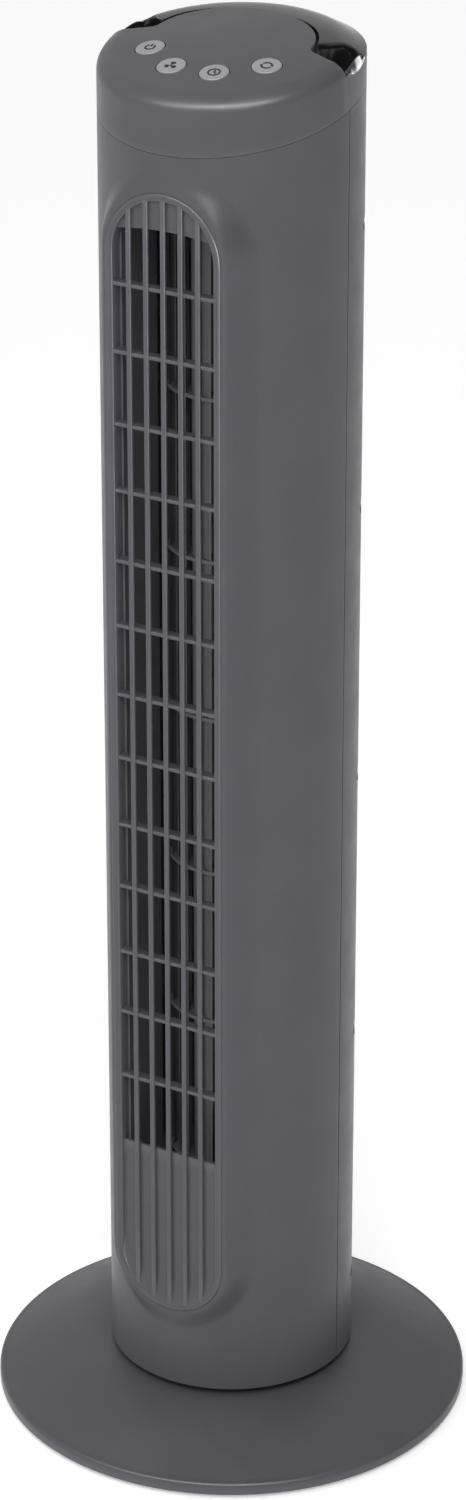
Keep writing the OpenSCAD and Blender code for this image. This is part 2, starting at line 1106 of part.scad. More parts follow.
module drive_hub() {
    color(rubber_black)
        blower_axis()
            translate([0, 0, wheel_lo - 5])
                difference() {
                    union() {
                        cylinder(r = 8, h = 17);
                        translate([0, 0, 7])
                            cylinder(r = 11, h = 8);
                    }
                    translate([0, 0, -1])
                        cylinder(r = shaft_r + fit, h = 16);
                }
}

// One curved blade in plan: a bent strip between the inner and outer radius
module blade_plan() {
    blade_in = wheel_r - 9;
    blade_out = wheel_r - 0.6;
    steps = 4;
    half_t = 0.55;
    sweep = 14;
    spine = [for (i = [0 : steps]) let (t = i / steps, r = blade_in + (blade_out - blade_in) * t,
        a = sweep * t * t) [r * cos(a), r * sin(a)]];
    polygon(concat(
        [for (p = spine) [p[0], p[1] + half_t]],
        [for (i = [steps : -1 : 0]) [spine[i][0], spine[i][1] - half_t]]));
}

module blower_wheel() {
    discs = 7;
    spacing = (wheel_hi - wheel_lo - 2) / (discs - 1);
    color(dark_plastic)
        blower_axis()
            union() {
                translate([0, 0, wheel_lo + 0.5])
                    linear_extrude(height = wheel_hi - wheel_lo - 1)
                        for (i = [0 : blades - 1])
                            rotate([0, 0, i * 360 / blades])
                                blade_plan();
                for (i = [1 : discs - 2])
                    translate([0, 0, wheel_lo + i * spacing])
                        ring(wheel_r, wheel_r - 10, 2);
                translate([0, 0, wheel_lo])
                    ring(wheel_r, 8.1, 2);
                translate([0, 0, wheel_hi - 2])
                    ring(wheel_r, spindle_r + fit, 2);
                translate([0, 0, wheel_hi - 12])
                    ring(9, spindle_r + fit, 11);
            }
}

module top_spindle() {
    color(steel)
        blower_axis()
            translate([0, 0, wheel_hi - 12])
                cylinder(r = spindle_r, h = 24);
}

// Curved plate beside the wheel, from start to end degrees around its axis,
// drawn as a spiral whose radius grows, then run straight to the outlet
module guide_plan(start, end, r_start, r_end, mouth) {
    steps = 16;
    t = 2;
    spiral = [for (i = [0 : steps]) let (a = start + (end - start) * i / steps,
        r = r_start + (r_end - r_start) * i / steps) [r * cos(a), blower_y + r * sin(a)]];
    spiral_out = [for (i = [steps : -1 : 0]) let (a = start + (end - start) * i / steps,
        r = t + r_start + (r_end - r_start) * i / steps) [r * cos(a), blower_y + r * sin(a)]];
    side = mouth > 0 ? 1 : -1;
    polygon(concat([[mouth, -61]], spiral, spiral_out, [[mouth + side * t, -61]]));
}

module scroll_guide() {
    color(body_grey)
        translate([0, 0, plate_hi])
            linear_extrude(height = top_plate_lo - plate_hi)
                guide_plan(212, 118, 41.5, 52, -29);
}

module tongue_guide() {
    color(body_grey)
        translate([0, 0, plate_hi])
            linear_extrude(height = top_plate_lo - plate_hi)
                guide_plan(-44, -12, 41, 43, 29);
}

module top_bearing_plate() {
    color(body_grey)
        union() {
            translate([0, 0, top_plate_lo])
                partition(12);
            translate([0, blower_y, top_plate_lo])
                ring(15, 12, 10);
        }
}

module bush_holder() {
    color(rubber_black)
        blower_axis()
            translate([0, 0, top_plate_lo])
                ring(11.9, 7.1, 8);
}

module top_bush() {
    color(bronze)
        blower_axis()
            translate([0, 0, top_plate_lo - 1])
                ring(7, spindle_r + fit, 8);
}

// ---- wiring ----

gland_z = 50;

// Straight run of cable between two points
module cable_run(from, to) {
    d = to - from;
    flat = norm([d[0], d[1]]);
    translate(from)
        rotate([0, atan2(flat, d[2]), atan2(d[1], d[0])])
            cylinder(r = harness_r, h = norm(d));
}

// Cable from the power board, up inside the housing, to the control board,
// with a round clip at each corner
module wire_harness() {
    route = [[51, -10, 84], [51, -10, 72], [harness_x, harness_y, 72],
        [harness_x, harness_y, 734], [-17, 11, 734], [-17, 11, 772.6]];
    color(rubber_black)
        union() {
            for (i = [0 : len(route) - 2])
                cable_run(route[i], route[i + 1]);
            for (i = [1 : len(route) - 2])
                translate(route[i])
                    sphere(r = harness_r + 0.4);
        }
}

// Strain-relief bush for the power cord, in the back of the tower
module cord_gland() {
    gland_bore = 3.6;
    color(rubber_black)
        translate([0, 74, gland_z])
            rotate([90, 0, 0])
                difference() {
                    union() {
                        cylinder(r = 9, h = 74 - body_r - 0.2);
                        cylinder(r = 6.9, h = 11);
                        translate([0, 0, 74 - inner_r + 0.8])
                            cylinder(r = 8.6, h = 3);
                    }
                    translate([0, 0, -1])
                        cylinder(r = gland_bore, h = 20);
                }
}

base_cover();
base_plate();
base_weight();
rubber_feet();
base_screws();
thrust_ring();
pivot_post();
post_screws();
retaining_washer();
swing_yoke();
yoke_screws();
tower_floor();
front_housing();
rear_housing();
outlet_grille();
top_cap();
carry_handle();
handle_well();
housing_screws();
cap_screws();
swing_motor();
swing_motor_bracket();
bracket_screws();
swing_crank();
motor_can();
motor_end_bell();
stator_core();
stator_windings();
lower_motor_bush();
upper_motor_bush();
motor_dampers();
motor_screws();
motor_plate();
run_capacitor();
power_board();
scroll_guide();
tongue_guide();
top_bearing_plate();
bush_holder();
top_bush();
blower_wheel();
drive_hub();
motor_shaft();
rotor_core();
top_spindle();
control_board();
push_switches();
board_screws();
wire_harness();
cord_gland();
power_button();
speed_button();
timer_button();
swing_button();
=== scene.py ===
import bpy
import bmesh
import json
import math
import numpy as np
from mathutils import Matrix, Vector


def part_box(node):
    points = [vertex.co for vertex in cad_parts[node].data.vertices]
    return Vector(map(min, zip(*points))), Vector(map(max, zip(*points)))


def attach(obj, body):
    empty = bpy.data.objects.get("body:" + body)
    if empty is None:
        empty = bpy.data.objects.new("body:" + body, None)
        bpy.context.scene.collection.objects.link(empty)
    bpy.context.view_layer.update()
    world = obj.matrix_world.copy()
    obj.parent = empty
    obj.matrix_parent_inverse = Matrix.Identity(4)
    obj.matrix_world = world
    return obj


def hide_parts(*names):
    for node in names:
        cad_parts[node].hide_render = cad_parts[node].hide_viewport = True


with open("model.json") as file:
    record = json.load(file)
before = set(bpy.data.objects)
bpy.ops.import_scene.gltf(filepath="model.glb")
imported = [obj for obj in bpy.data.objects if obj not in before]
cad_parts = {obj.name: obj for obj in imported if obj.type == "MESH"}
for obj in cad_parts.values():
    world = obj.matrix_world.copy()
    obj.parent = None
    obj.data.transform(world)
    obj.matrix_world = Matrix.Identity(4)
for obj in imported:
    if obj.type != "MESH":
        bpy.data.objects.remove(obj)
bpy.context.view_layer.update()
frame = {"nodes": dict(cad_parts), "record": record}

MM = 0.001  # lengths below are in millimetres unless a name says otherwise

# ---------------------------------------------------------------- sizes
# tower: a cylinder about Z, its outlet facing -Y
BODY_R = round(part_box("rear_housing")[1].x / MM, 1)
BODY_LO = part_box("front_housing")[0].z / MM
WALL = 2.4
GAP = 0.3
SIDE_SEAM_HALF = 0.45  # half the width of the seam down each side
AZ_EDGE = math.acos(SIDE_SEAM_HALF / BODY_R)
SEAM_Z = 758.0  # the cap's seam is a tilted plane
SEAM_SLOPE = math.tan(math.radians(13))
GLAND_Z = 50.0

# cap: a tilted dome, rounded down to the tower's wall from CREASE_R on
DOME_Z = 787.6
DOME_TILT = math.radians(10)
DOME_R = 500.0
DOME_CY = DOME_R * math.sin(DOME_TILT)
DOME_CZ = DOME_Z - DOME_R * math.cos(DOME_TILT)
CREASE_R = 61.0
EDGE_DROP = 7.0
EDGE_POWER = 2.8
BAND_SHARE = 0.27
SKIN = 2.6

# back edge of the control panel: a half oval tongue, and a corner on each side
TONGUE_X = 44.5
TONGUE_Y = 34.5
CORNER_Y = -4.9

# rim and handle behind the panel
RIM_EDGE_Z = 780.0
RIM_EDGE_SLOPE = 0.069
FACET_MAX = 4.9  # largest height of the bevel beside a finger hole
HOOD_T = 3.0

# outlet grille: a capsule in the front view
FACE_Y = -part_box("outlet_grille")[0].y / MM
GRILLE_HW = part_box("outlet_grille")[1].x / MM
GRILLE_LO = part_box("outlet_grille")[0].z / MM
GRILLE_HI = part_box("outlet_grille")[1].z / MM
INNER_HW = GRILLE_HW - 4.1
BAR_FACE = FACE_Y - 0.6
BACK_Y = 8.0 - FACE_Y  # back of the grille's border and ribs
CAPSULE_SIDE, CAPSULE_ARC = 90, 72  # points along a side and round an end
OPEN_LO = 175.9
OPEN_HI = 702.7
BAR_X = [-20.2, -10.1, 0.0, 10.1, 20.2]
BAR_W, BAR_D = 2.8, 2.1
RIBS = 13
RIB_T = 2.1
RIB_TOP = 672.8
RIB_PITCH = 37.85
RIB_STAGGER = 0.7

# air intake and the handle's rear opening: half angle, lowest and highest point
INTAKE = (math.asin(54 / BODY_R), 158.0, 686.0)
WINDOW = (math.asin(42 / BODY_R), 744.0, 766.0)
SPLIT_Z = 716.0
LOUVRES = 84
LOUVRE_TILT = math.radians(-32)
UPRIGHT_X = (-36, -18, 0, 18, 36)

SCREW_X = 60.5
SCREW_Z = [70, 225, 380, 535, 690]
SCREW_WELL_R = 3.8
SCREW_TUBE_R = 5.4

BASE_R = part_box("base_cover")[1].x / MM
HUB_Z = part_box("base_cover")[1].z / MM
HUB_R = 66
RIM_Z = 9.1
RIM_ROUND = 2.4

BUTTON_RING = 41.5
BUTTON_R = 7.6
BUTTON_PROUD = 0.3
BUTTON_ROUND = 0.5
BUTTONS = {"power": -54.5, "speed": -17.3, "timer": 17.3, "swing": 54.5}
ICON_LO, ICON_HI = 0.12, 0.36
LINE = 0.85


# ---------------------------------------------------------------- mesh helpers
def quads(nv, nu, close_u=False, close_v=False):
    """Quads of a grid of nv rows of nu points."""
    out = []
    for v in range(nv if close_v else nv - 1):
        for u in range(nu if close_u else nu - 1):
            w, x = (v + 1) % nv, (u + 1) % nu
            out.append((v * nu + u, v * nu + x, w * nu + x, w * nu + u))
    return out


def loft(rows, close_u=True, close_v=False, ends=True):
    """Solid through rows of points; closed across with end faces."""
    rows = np.asarray(rows, float)
    nv, nu = rows.shape[:2]
    faces = quads(nv, nu, close_u, close_v)
    if ends and not close_v:
        faces.append(tuple(range(nu))[::-1])
        faces.append(tuple((nv - 1) * nu + i for i in range(nu)))
    return rows.reshape(-1, 3), faces


def surface_normals(p, close_u):
    """Unit normals of a grid of points, by differences."""
    if close_u:
        du = np.roll(p, -1, 1) - np.roll(p, 1, 1)
    else:
        du = np.gradient(p, axis=1)
    dv = np.gradient(p, axis=0)
    n = np.cross(du, dv)
    return n / np.maximum(np.linalg.norm(n, axis=2, keepdims=True), 1e-12)


def thicken(p, depth, close_u, normals):
    """Closed solid from a grid: the surface, and a copy moved back by depth."""
    p = np.asarray(p, float)
    back = p - normals * depth
    nv, nu = p.shape[:2]
    if close_u:
        ring = np.concatenate([p, back[::-1]], 0)
        return loft(ring, True, True, False)
    verts = np.concatenate([p.reshape(-1, 3), back.reshape(-1, 3)])
    k = nv * nu
    faces = quads(nv, nu)
    faces += [tuple(k + i for i in q[::-1]) for q in quads(nv, nu)]
    rim = list(range(nu)) + [v * nu + nu - 1 for v in range(1, nv)]
    rim += [(nv - 1) * nu + u for u in range(nu - 2, -1, -1)]
    rim += [v * nu for v in range(nv - 2, 0, -1)]
    for a, b in zip(rim, rim[1:] + rim[:1]):
        faces.append((b, a, k + a, k + b))
    return verts, faces


def turn(profile, n):
    """Closed profile of (radius, height) points turned round the vertical."""
    rows = [[(r * math.cos(t), r * math.sin(t), z) for r, z in profile]
            for t in np.radians(np.linspace(0, 360, n, endpoint=False))]
    return loft(rows, True, True, False)


def round_rect(w, h, r, n=4):
    """Rectangle with rounded corners, centred on the origin."""
    pts = []
    for cx, cy, a0 in ((w / 2 - r, h / 2 - r, 0), (r - w / 2, h / 2 - r, 90),
                       (r - w / 2, r - h / 2, 180), (w / 2 - r, r - h / 2, 270)):
        for i in range(n + 1):
            t = math.radians(a0 + 90 * i / n)
            pts.append((cx + r * math.cos(t), cy + r * math.sin(t)))
    return np.array(pts)


def moved(part, matrix):
    """The same part after a 4x4 matrix."""
    v, f = part
    m = np.array(matrix)
    return v @ m[:3, :3].T + m[:3, 3], f


def new_object(name, parts, weld=1e-7):
    """One mesh object from parts given in millimetres."""
    verts, faces = [], []
    for v, f in parts:
        base = len(verts)
        verts.extend(np.asarray(v) * MM)
        faces.extend(tuple(i + base for i in q) for q in f)
    me = bpy.data.meshes.new(name)
    me.from_pydata([tuple(v) for v in verts], [], faces)
    bm = bmesh.new()
    bm.from_mesh(me)
    bmesh.ops.remove_doubles(bm, verts=bm.verts, dist=weld)
    bmesh.ops.dissolve_degenerate(bm, edges=bm.edges, dist=weld)
    bmesh.ops.recalc_face_normals(bm, faces=bm.faces)
    bm.to_mesh(me)
    bm.free()
    ob = bpy.data.objects.new(name, me)
    bpy.context.scene.collection.objects.link(ob)
    return ob


def apply_modifiers(ob):
    """Makes the modified mesh the object's own."""
    dg = bpy.context.evaluated_depsgraph_get()
    me = bpy.data.meshes.new_from_object(ob.evaluated_get(dg))
    ob.modifiers.clear()
    old = ob.data
    ob.data = me
    bpy.data.meshes.remove(old)


def bevel(ob, width, segments, angle):
    """Rounds the edges sharper than angle."""
    m = ob.modifiers.new("edge", "BEVEL")
    m.width = width * MM
    m.segments = segments
    m.limit_method = "ANGLE"
    m.angle_limit = math.radians(angle)
    m.use_clamp_overlap = True
    apply_modifiers(ob)


def cut(ob, parts):
    """Takes closed parts away from ob."""
    for part in parts:
        tool = new_object("tool", [part])
        m = ob.modifiers.new("cut", "BOOLEAN")
        m.operation = "DIFFERENCE"
        m.solver = "EXACT"
        m.object = tool
        apply_modifiers(ob)
        bpy.data.objects.remove(tool)


def finish_piece(ob, mat, body, replaces=(), angle=32, shape=None):
    """Smooth shading, material, and the calls that tie a piece to the frame."""
    me = ob.data
    me.materials.clear()
    me.materials.append(mat)
    me.shade_smooth()
    me.set_sharp_from_angle(angle=math.radians(angle))
    if shape:
        follow_shape(me, shape)
    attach(ob, body)
    if replaces:
        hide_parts(*replaces)


def follow_shape(me, shape):
    """Takes corner normals from a known surface wherever a face lies on it."""
    loops = np.zeros(len(me.loops) * 3, np.float32)
    me.corner_normals.foreach_get("vector", loops)
    loops = loops.reshape(-1, 3)
    co = np.zeros(len(me.vertices) * 3, np.float32)
    me.vertices.foreach_get("co", co)
    co = co.reshape(-1, 3) / MM
    for poly in me.polygons:
        fn = np.array(poly.normal)
        for li in poly.loop_indices:
            n = shape(co[me.loops[li].vertex_index], fn)
            if n is not None:
                loops[li] = n
    me.normals_split_custom_set(loops.tolist())


# ---------------------------------------------------------------- materials
NOISE_ROUGHNESS = 0.55
GREY = (0.085, 0.0834, 0.0926)
TINT = 0.05  # how far the slow colour drift goes either way
# the second tone lightens convex edges: partly wear, partly a painted highlight
FLECK_TONE, WORN_AND_HIGHLIGHT_TONE = 1.25, 1.9


def nodes_of(mat):
    """Node tree and shader of a new material."""
    mat.use_nodes = True
    nt = mat.node_tree
    return nt, nt.nodes["Principled BSDF"]


def noise(nt, coords, scale, detail=3.0):
    """Noise of so many cells a metre."""
    n = nt.nodes.new("ShaderNodeTexNoise")
    n.inputs["Scale"].default_value = scale
    n.inputs["Detail"].default_value = detail
    n.inputs["Roughness"].default_value = NOISE_ROUGHNESS
    nt.links.new(coords, n.inputs["Vector"])
    return n.outputs["Fac"]


def stretch(nt, coords, scale):
    """Coordinates scaled along each axis."""
    m = nt.nodes.new("ShaderNodeMapping")
    m.inputs["Scale"].default_value = scale
    nt.links.new(coords, m.inputs["Vector"])
    return m.outputs["Vector"]


def ranged(nt, value, lo, hi, from_lo=0.3, from_hi=0.7):
    """Value carried from its own range, by default that of noise, to lo..hi."""
    m = nt.nodes.new("ShaderNodeMapRange")
    m.inputs["From Min"].default_value = from_lo
    m.inputs["From Max"].default_value = from_hi
    m.inputs["To Min"].default_value = lo
    m.inputs["To Max"].default_value = hi
    nt.links.new(value, m.inputs["Value"])
    return m.outputs["Result"]


def mixed(nt, fac, a, b):
    """Colour a to b as fac goes from 0 to 1; each is a colour or a socket."""
    m = nt.nodes.new("ShaderNodeMix")
    m.data_type = "RGBA"
    nt.links.new(fac, m.inputs["Factor"])
    for key, c in (("A", a), ("B", b)):
        socket = [s for s in m.inputs if s.name == key and s.type == "RGBA"][0]
        if isinstance(c, tuple):
            socket.default_value = (*c, 1)
        else:
            nt.links.new(c, socket)
    return [s for s in m.outputs if s.type == "RGBA"][0]


def bumped(nt, bsdf, heights):
    """Chained bumps: (height socket, strength, distance in metres)."""
    last = None
    for height, strength, distance in heights:
        b = nt.nodes.new("ShaderNodeBump")
        b.inputs["Strength"].default_value = strength
        b.inputs["Distance"].default_value = distance
        nt.links.new(height, b.inputs["Height"])
        if last:
            nt.links.new(last, b.inputs["Normal"])
        last = b.outputs["Normal"]
    nt.links.new(last, bsdf.inputs["Normal"])


def object_coords(nt):
    """Metres from the origin that every piece shares."""
    return nt.nodes.new("ShaderNodeTexCoord").outputs["Object"]


def scaled(c, k):
    """Colour made k times as light."""
    return tuple(min(1.0, x * k) for x in c)


def edge_wear_and_highlight(nt, colour, light, amount):
    """A lighter tone where the surface turns sharply outward: partly edge wear, partly a painted highlight on
    rounded edges.
    """
    g = nt.nodes.new("ShaderNodeNewGeometry")
    f = ranged(nt, g.outputs["Pointiness"], 0.0, amount, 0.509, 0.545)
    return mixed(nt, f, colour, light)


def plastic(name, rgb, rough, grain=0.25, grain_size=2400.0, wear_and_highlight=0.0, spec=0.5):
    """Moulded plastic: spark-eroded grain, slow colour drift, handling gloss."""
    mat = bpy.data.materials.new(name)
    nt, b = nodes_of(mat)
    oc = object_coords(nt)
    drift = ranged(nt, noise(nt, oc, 28.0, 2.0), 0.0, 1.0)
    fleck = ranged(nt, noise(nt, oc, 900.0, 3.0), 0.0, 0.25)
    colour = mixed(nt, drift, scaled(rgb, 1 - TINT), scaled(rgb, 1 + TINT))
    colour = mixed(nt, fleck, colour, scaled(rgb, FLECK_TONE))
    # convex edges painted lighter: partly wear, partly a painted highlight
    if wear_and_highlight:
        colour = edge_wear_and_highlight(nt, colour, scaled(rgb, WORN_AND_HIGHLIGHT_TONE), wear_and_highlight)
    nt.links.new(colour, b.inputs["Base Color"])
    rub = noise(nt, oc, 60.0, 4.0)
    nt.links.new(ranged(nt, rub, rough - 0.05, rough + 0.05), b.inputs["Roughness"])
    b.inputs["Specular IOR Level"].default_value = spec
    bumped(nt, b, [(noise(nt, oc, grain_size, 2.0), grain, 0.00006),
                   (noise(nt, oc, 45.0, 1.0), 0.06, 0.0002)])
    return mat


def metal(name, rgb, rough, grain_along, scale=700.0, strength=0.15):
    """Metal with drawn or cast grain and faint stains."""
    mat = bpy.data.materials.new(name)
    nt, b = nodes_of(mat)
    oc = object_coords(nt)
    b.inputs["Metallic"].default_value = 1.0
    lines = noise(nt, stretch(nt, oc, grain_along), scale, 3.0)
    stain = ranged(nt, noise(nt, oc, 40.0, 4.0), 0.0, 1.0)
    nt.links.new(mixed(nt, stain, scaled(rgb, 0.86), scaled(rgb, 1.08)), b.inputs["Base Color"])
    nt.links.new(ranged(nt, lines, rough - 0.08, rough + 0.1), b.inputs["Roughness"])
    bumped(nt, b, [(lines, strength, 0.00005)])
    return mat


def ringed(name, rgb, rough, pitch, metallic=0.0, depth=0.0002):
    """Fine rings or stacked sheets along the vertical."""
    mat = bpy.data.materials.new(name)
    nt, b = nodes_of(mat)
    oc = object_coords(nt)
    w = nt.nodes.new("ShaderNodeTexWave")
    w.bands_direction = "Z"
    w.inputs["Scale"].default_value = 1 / (pitch * MM) / 3.2
    w.inputs["Distortion"].default_value = 0.6
    nt.links.new(oc, w.inputs["Vector"])
    b.inputs["Metallic"].default_value = metallic
    nt.links.new(mixed(nt, w.outputs["Fac"], scaled(rgb, 0.7), rgb), b.inputs["Base Color"])
    nt.links.new(ranged(nt, noise(nt, oc, 120.0), rough - 0.06, rough + 0.06), b.inputs["Roughness"])
    bumped(nt, b, [(w.outputs["Fac"], 0.5, depth)])
    return mat


def board(name):
    """Green solder mask with raised tracks and pale pads."""
    mat = bpy.data.materials.new(name)
    nt, b = nodes_of(mat)
    oc = object_coords(nt)
    v = nt.nodes.new("ShaderNodeTexBrick")
    v.inputs["Scale"].default_value = 160.0
    v.inputs["Mortar Size"].default_value = 0.03
    v.inputs["Color1"].default_value = (0.012, 0.075, 0.03, 1)
    v.inputs["Color2"].default_value = (0.016, 0.09, 0.036, 1)
    v.inputs["Mortar"].default_value = (0.035, 0.17, 0.07, 1)
    nt.links.new(oc, v.inputs["Vector"])
    dots = nt.nodes.new("ShaderNodeTexVoronoi")
    dots.inputs["Scale"].default_value = 210.0
    nt.links.new(oc, dots.inputs["Vector"])
    pads = ranged(nt, dots.outputs["Distance"], 1.0, 0.0, 0.10, 0.14)
    nt.links.new(mixed(nt, pads, v.outputs["Color"], (0.55, 0.55, 0.5)), b.inputs["Base Color"])
    nt.links.new(ranged(nt, noise(nt, oc, 90.0), 0.28, 0.4), b.inputs["Roughness"])
    bumped(nt, b, [(v.outputs["Fac"], 0.3, 0.00008), (pads, 0.4, 0.0001)])
    return mat


MATS = {
    # the body's convex edges are painted lighter, partly as wear and partly as a painted highlight
    "body_plastic": plastic("body_plastic", GREY, 0.38, wear_and_highlight=0.3, spec=0.24),
    "inner_plastic": plastic("inner_plastic", (0.1, 0.1, 0.104), 0.6, spec=0.2),
    # a nearly black copy of the inner plastic for the handle's well: painted shade in that recess
    "shaded_well_plastic": plastic("shaded_well_plastic", (0.02, 0.02, 0.022), 0.5),
    "gloss_plastic": plastic("gloss_plastic", (0.011, 0.011, 0.012), 0.16, grain=0.02,
                             grain_size=400.0),
    "button_plastic": plastic("button_plastic", (0.3, 0.303, 0.312), 0.42, grain=0.15),
    "icon_ink": plastic("icon_ink", (0.006, 0.006, 0.007), 0.6, grain=0.05, spec=0.2),
    "white_plastic": plastic("white_plastic", (0.72, 0.72, 0.68), 0.38, grain=0.1),
    "steel": metal("steel", (0.56, 0.57, 0.58), 0.33, (1, 1, 14)),
    "iron": ringed("iron", (0.2, 0.2, 0.21), 0.45, 0.5, 0.9),
    "copper_wire": ringed("copper_wire", (0.5, 0.2, 0.08), 0.3, 0.45, 0.7, 0.0003),
    "bronze": metal("bronze", (0.5, 0.33, 0.15), 0.5, (1, 1, 1), 1800.0, 0.3),
    "rubber": plastic("rubber", (0.016, 0.016, 0.016), 0.72, grain=0.4, grain_size=1500.0,
                      spec=0.3),
    "cable_jacket": plastic("cable_jacket", (0.02, 0.02, 0.021), 0.45, grain=0.1),
    "circuit_board": board("circuit_board"),
}


# ---------------------------------------------------------------- shapes of the shell
def dome(x, y):
    """Height of the control panel's domed surface."""
    return DOME_CZ + np.sqrt(DOME_R ** 2 - x ** 2 - (y - DOME_CY) ** 2)


def cap_top(x, y):
    """The dome, rounded down to the wall near the rim."""
    r = np.hypot(x, y)
    q = np.clip((r - CREASE_R) / (BODY_R - CREASE_R), 0, 1)
    band = (1 - (1 - q ** EDGE_POWER) ** (1 / EDGE_POWER)) * (1 - BAND_SHARE)
    return dome(x, y) - EDGE_DROP * (band + BAND_SHARE * q)


def seam(y):
    """Height of the cap's seam."""
    return SEAM_Z + y * SEAM_SLOPE


def rim_edge(y):
    """Lower edge of the handle where it meets the tower's wall."""
    return RIM_EDGE_Z + RIM_EDGE_SLOPE * (y - 20)


def eased(x, xs, ys):
    """Smooth curve through the given values, held beyond its ends."""
    xs, ys = np.asarray(xs, float), np.asarray(ys, float)
    slope = np.gradient(ys, xs)
    i = np.clip(np.searchsorted(xs, x) - 1, 0, len(xs) - 2)
    h = xs[i + 1] - xs[i]
    t = np.clip((x - xs[i]) / h, 0, 1)
    return (ys[i] * (2 * t ** 3 - 3 * t ** 2 + 1) + slope[i] * h * (t ** 3 - 2 * t ** 2 + t)
            + ys[i + 1] * (3 * t ** 2 - 2 * t ** 3) + slope[i + 1] * h * (t ** 3 - t ** 2))


def lip(y):
    """Top of the cap's bare rim beside the panel, then under the handle."""
    return eased(y, [-5.0, -3.6, 0.0, 4.8, 10.0, 16.0, 20.0, 24.0, BODY_R],
                 [776.0, 776.8, 778.0, 779.8, 781.2, 781.8, 781.0, rim_edge(24) - GAP,
                  rim_edge(BODY_R) - GAP])


def facet(y):
    """Height of the bevel cut on the outside of that rim for a finger."""
    height = eased(y, [-3.0, 1.2, 4.0, 8.0, 14.0, 19.0, 23.0],
                   [0.0, 2.2, 3.9, FACET_MAX, FACET_MAX, 3.0, 0.0])
    return np.maximum(height, 0)


def panel_outline(grow=0.0):
    """Back edge of the panel from the right rim round the tongue to the left."""
    t = np.radians(np.linspace(4, 176, 73))
    tx, ty, ny = TONGUE_X + grow, TONGUE_Y + grow, 1 + grow
    tongue = np.stack([tx * np.cos(t), ty * np.sin(t) + ny * (1 - np.sin(t))], 1)
    cy = CORNER_Y + grow
    cx = math.sqrt(BODY_R ** 2 - cy ** 2)
    side = [(cx, cy), (64.5, -4.5 + grow), (60.5, -3.9 + grow), (56.5, -2.9 + grow),
            (52.5, -1.7 + grow), (tx + 3.4, ny - 1.4), (tx + 1.6, ny - 0.5), (tx + 0.5, ny + 0.6)]
    left = [(-x, y) for x, y in side[::-1]]
    return np.concatenate([side, tongue, left])


def on_panel(angle):
    """Frame on the panel at a button: origin on the surface, Z out of it."""
    t = math.radians(angle)
    b = math.asin(BUTTON_RING / DOME_R)
    tilt = Matrix.Rotation(DOME_TILT, 4, "X")
    out = tilt @ Vector((math.sin(t) * math.sin(b), -math.cos(t) * math.sin(b), math.cos(b)))
    centre = Vector((0, 0, DOME_Z)) + tilt @ Vector((0, 0, -DOME_R))
    z = out.normalized()
    x = Vector((1, 0, 0))
    x = (x - z * x.dot(z)).normalized()
    y = z.cross(x)
    m = Matrix((x, y, z)).transposed().to_4x4()
    m.translation = centre + z * DOME_R
    return m


# ---------------------------------------------------------------- front shell
def capsule(hw):
    """Capsule in the front view, round the grille's two arc centres: (x, z)."""
    n_side, n_arc = CAPSULE_SIDE, CAPSULE_ARC
    lo, hi = GRILLE_LO + GRILLE_HW, GRILLE_HI - GRILLE_HW
    half_turn = [math.pi * i / n_arc for i in range(n_arc)]
    right = [(hw, lo + (hi - lo) * i / n_side) for i in range(n_side)]
    top = [(hw * math.cos(t), hi + hw * math.sin(t)) for t in half_turn]
    left = [(-hw, hi + (lo - hi) * i / n_side) for i in range(n_side)]
    low = [(-hw * math.cos(t), lo - hw * math.sin(t)) for t in half_turn]
    return np.array(right + top + left + low)


def swell(q):
    """Share of the way from the grille's rim down to the cylinder."""
    q = np.clip(q, 0, 1)
    return q * q * q * (q * (6 * q - 15) + 10)


def front_shell():
    """Half cylinder with a fairing that swells out to the grille's rim."""
    mouth = GRILLE_HW + 0.1
    reach = 13.5  # width of the fairing
    start = 0.9  # the part of its curve that lies under the grille's bead
    rim_y = -(FACE_Y - 0.95)
    rows = []
    for d in np.concatenate([[0, 0.35, 0.8], np.linspace(1.5, reach, 20)]):
        c = capsule(mouth + d)
        x = c[:, 0]
        y_cyl = -np.sqrt(np.maximum(BODY_R ** 2 - x ** 2, 0))
        s = swell((d + start) / (reach + start)) - swell(start / (reach + start)) * (1 - d / reach)
        rows.append(np.stack([x, rim_y + (y_cyl - rim_y) * s, c[:, 1]], 1))
    c = capsule(mouth + reach)
    ns, na = CAPSULE_SIDE, CAPSULE_ARC
    az0 = np.arcsin(c[:, 0] / BODY_R)
    side_top = seam(-GAP / 2) - GAP / 2
    outer = [(AZ_EDGE, BODY_LO + (side_top - BODY_LO) * i / ns) for i in range(ns)]
    across = [AZ_EDGE * (1 - 2 * i / na) for i in range(na)]
    outer += [(a, seam(-BODY_R * math.cos(a)) - GAP / 2) for a in across]
    outer += [(-AZ_EDGE, BODY_LO + (side_top - BODY_LO) * (1 - i / ns)) for i in range(ns)]
    outer += [(-a, BODY_LO) for a in across]
    az1, z1 = np.array(outer).T
    for t in np.concatenate([np.linspace(0.04, 0.94, 16), [0.985, 1.0]]):
        az = az0 + (az1 - az0) * t
        z = c[:, 1] + (z1 - c[:, 1]) * t
        rows.append(np.stack([BODY_R * np.sin(az), -BODY_R * np.cos(az), z], 1))
    p = np.array(rows)
    n = surface_normals(p, True)
    if n[0, 0, 1] > 0:
        n = -n
    return thicken(p, WALL, True, n)


ob = new_object("front_shell", [front_shell()])
bevel(ob, 0.45, 2, 55)
finish_piece(ob, MATS["body_plastic"], "tower", ["front_housing"])


# ---------------------------------------------------------------- outlet grille
def sweep_capsule(section):
    """Closed section of (half width, y) points carried round the capsule."""
    rows = []
    for hw, y in section:
        c = capsule(hw)
        rows.append(np.stack([c[:, 0], np.full(len(c), y), c[:, 1]], 1))
    return loft(rows, True, True, False)


def arc(cx, cy, r, a0, a1, n):
    """Points on an arc, angles in degrees."""
    return [(cx + r * math.cos(math.radians(a0 + (a1 - a0) * i / n)),
             cy + r * math.sin(math.radians(a0 + (a1 - a0) * i / n))) for i in range(n + 1)]


